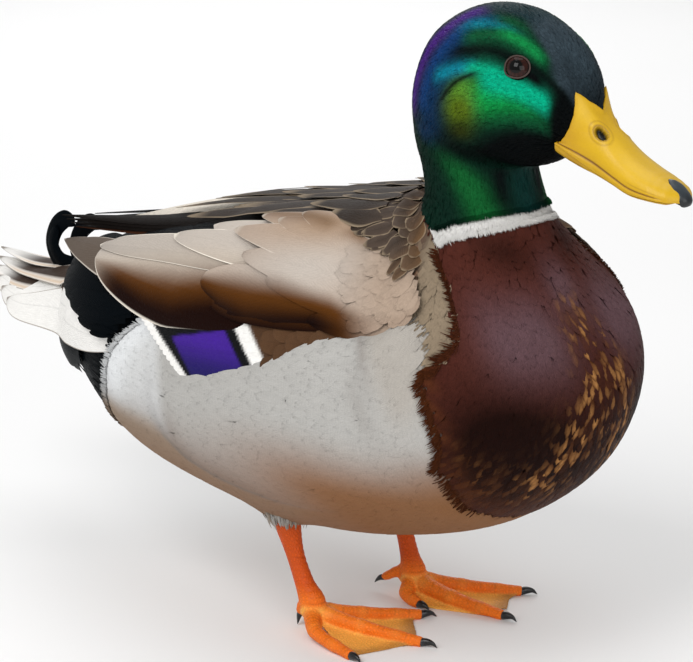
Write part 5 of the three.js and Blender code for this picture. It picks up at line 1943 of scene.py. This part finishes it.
class MALLARD_OT_stage(bpy.types.Operator):
    """Pale floor, soft lights and the camera"""
    bl_idname = "mallard.stage"
    bl_label = "Stage"

    def execute(self, context):
        scene = context.scene
        corners = np.array([[-1, -1, 0], [1, -1, 0], [1, 1, 0], [-1, 1, 0]]) * FLOOR
        floor = put("floor", corners, [np.array([[0, 1, 2, 3]])], smooth=False)
        sh = Shader("Pale floor", Roughness=.8)
        sh.link("Base Color", sh.mix(sh.noise(3.0), (.86, .86, .86), (.9, .9, .9)))
        floor.data.materials.append(sh.material)
        world = bpy.data.worlds.new("Studio")
        world.use_nodes = True
        world.node_tree.nodes["Background"].inputs[0].default_value = (1, 1, 1, 1)
        world.node_tree.nodes["Background"].inputs[1].default_value = .45
        scene.world = world
        target = LOOK_AT * MM
        for name, (at, size, power_w) in LAMPS.items():
            light = bpy.data.lights.new(name, "AREA")
            light.size = size
            light.energy = power_w
            lamp = bpy.data.objects.new(name, light)
            lamp.location = at
            aim(lamp, target)
            scene.collection.objects.link(lamp)
        camera = bpy.data.cameras.new("Camera")
        camera.sensor_width = CAMERA["sensor"]
        camera.lens = CAMERA["lens"]
        camera.clip_end = 50
        eye = bpy.data.objects.new("Camera", camera)
        az, el = math.radians(CAMERA["turn"]), math.radians(CAMERA["rise"])
        back = np.array([math.sin(az) * math.cos(el), -math.cos(az) * math.cos(el), math.sin(el)])
        eye.location = target + back * CAMERA["away"]
        aim(eye, target)
        scene.collection.objects.link(eye)
        scene.camera = eye
        scene.view_settings.view_transform = "Standard"
        return {"FINISHED"}


def aim(thing, target):
    """Turns a lamp or camera to look at a point, its top upwards."""
    way = Vector(target) - Vector(thing.location)
    thing.rotation_euler = way.to_track_quat("-Z", "Y").to_euler()


class MALLARD_PT_panel(bpy.types.Panel):
    """Lists the pieces and their sizes and colours"""
    bl_idname = "MALLARD_PT_panel"
    bl_label = "Mallard drake"
    bl_space_type = "VIEW_3D"
    bl_region_type = "UI"
    bl_category = "Mallard"

    def draw(self, context):
        for cls in OPERATORS:
            self.layout.operator(cls.bl_idname)
        for group in (context.scene.mallard_sizes, context.scene.mallard_colours):
            box = self.layout.box()
            for key in group.__annotations__:
                box.prop(group, key)


OPERATORS = (MALLARD_OT_stage, MALLARD_OT_skin, MALLARD_OT_head_coat, MALLARD_OT_body_coat,
             MALLARD_OT_wings, MALLARD_OT_bill, MALLARD_OT_eyes, MALLARD_OT_feet, MALLARD_OT_tail)
CLASSES = (MallardSizes, MallardColours) + OPERATORS + (MALLARD_PT_panel,)


def register():
    """Adds the classes and their settings."""
    for cls in CLASSES:
        bpy.utils.register_class(cls)
    bpy.types.Scene.mallard_sizes = bpy.props.PointerProperty(type=MallardSizes)
    bpy.types.Scene.mallard_colours = bpy.props.PointerProperty(type=MallardColours)


def unregister():
    """Takes away the settings and the classes."""
    del bpy.types.Scene.mallard_sizes
    del bpy.types.Scene.mallard_colours
    for cls in reversed(CLASSES):
        bpy.utils.unregister_class(cls)


def main():
    """Registers, builds every piece by its operator, and writes the two sizes."""
    register()
    for cls in OPERATORS:
        group, name = cls.bl_idname.split(".")
        getattr(getattr(bpy.ops, group), name)()


if __name__ == "__main__":
    main()
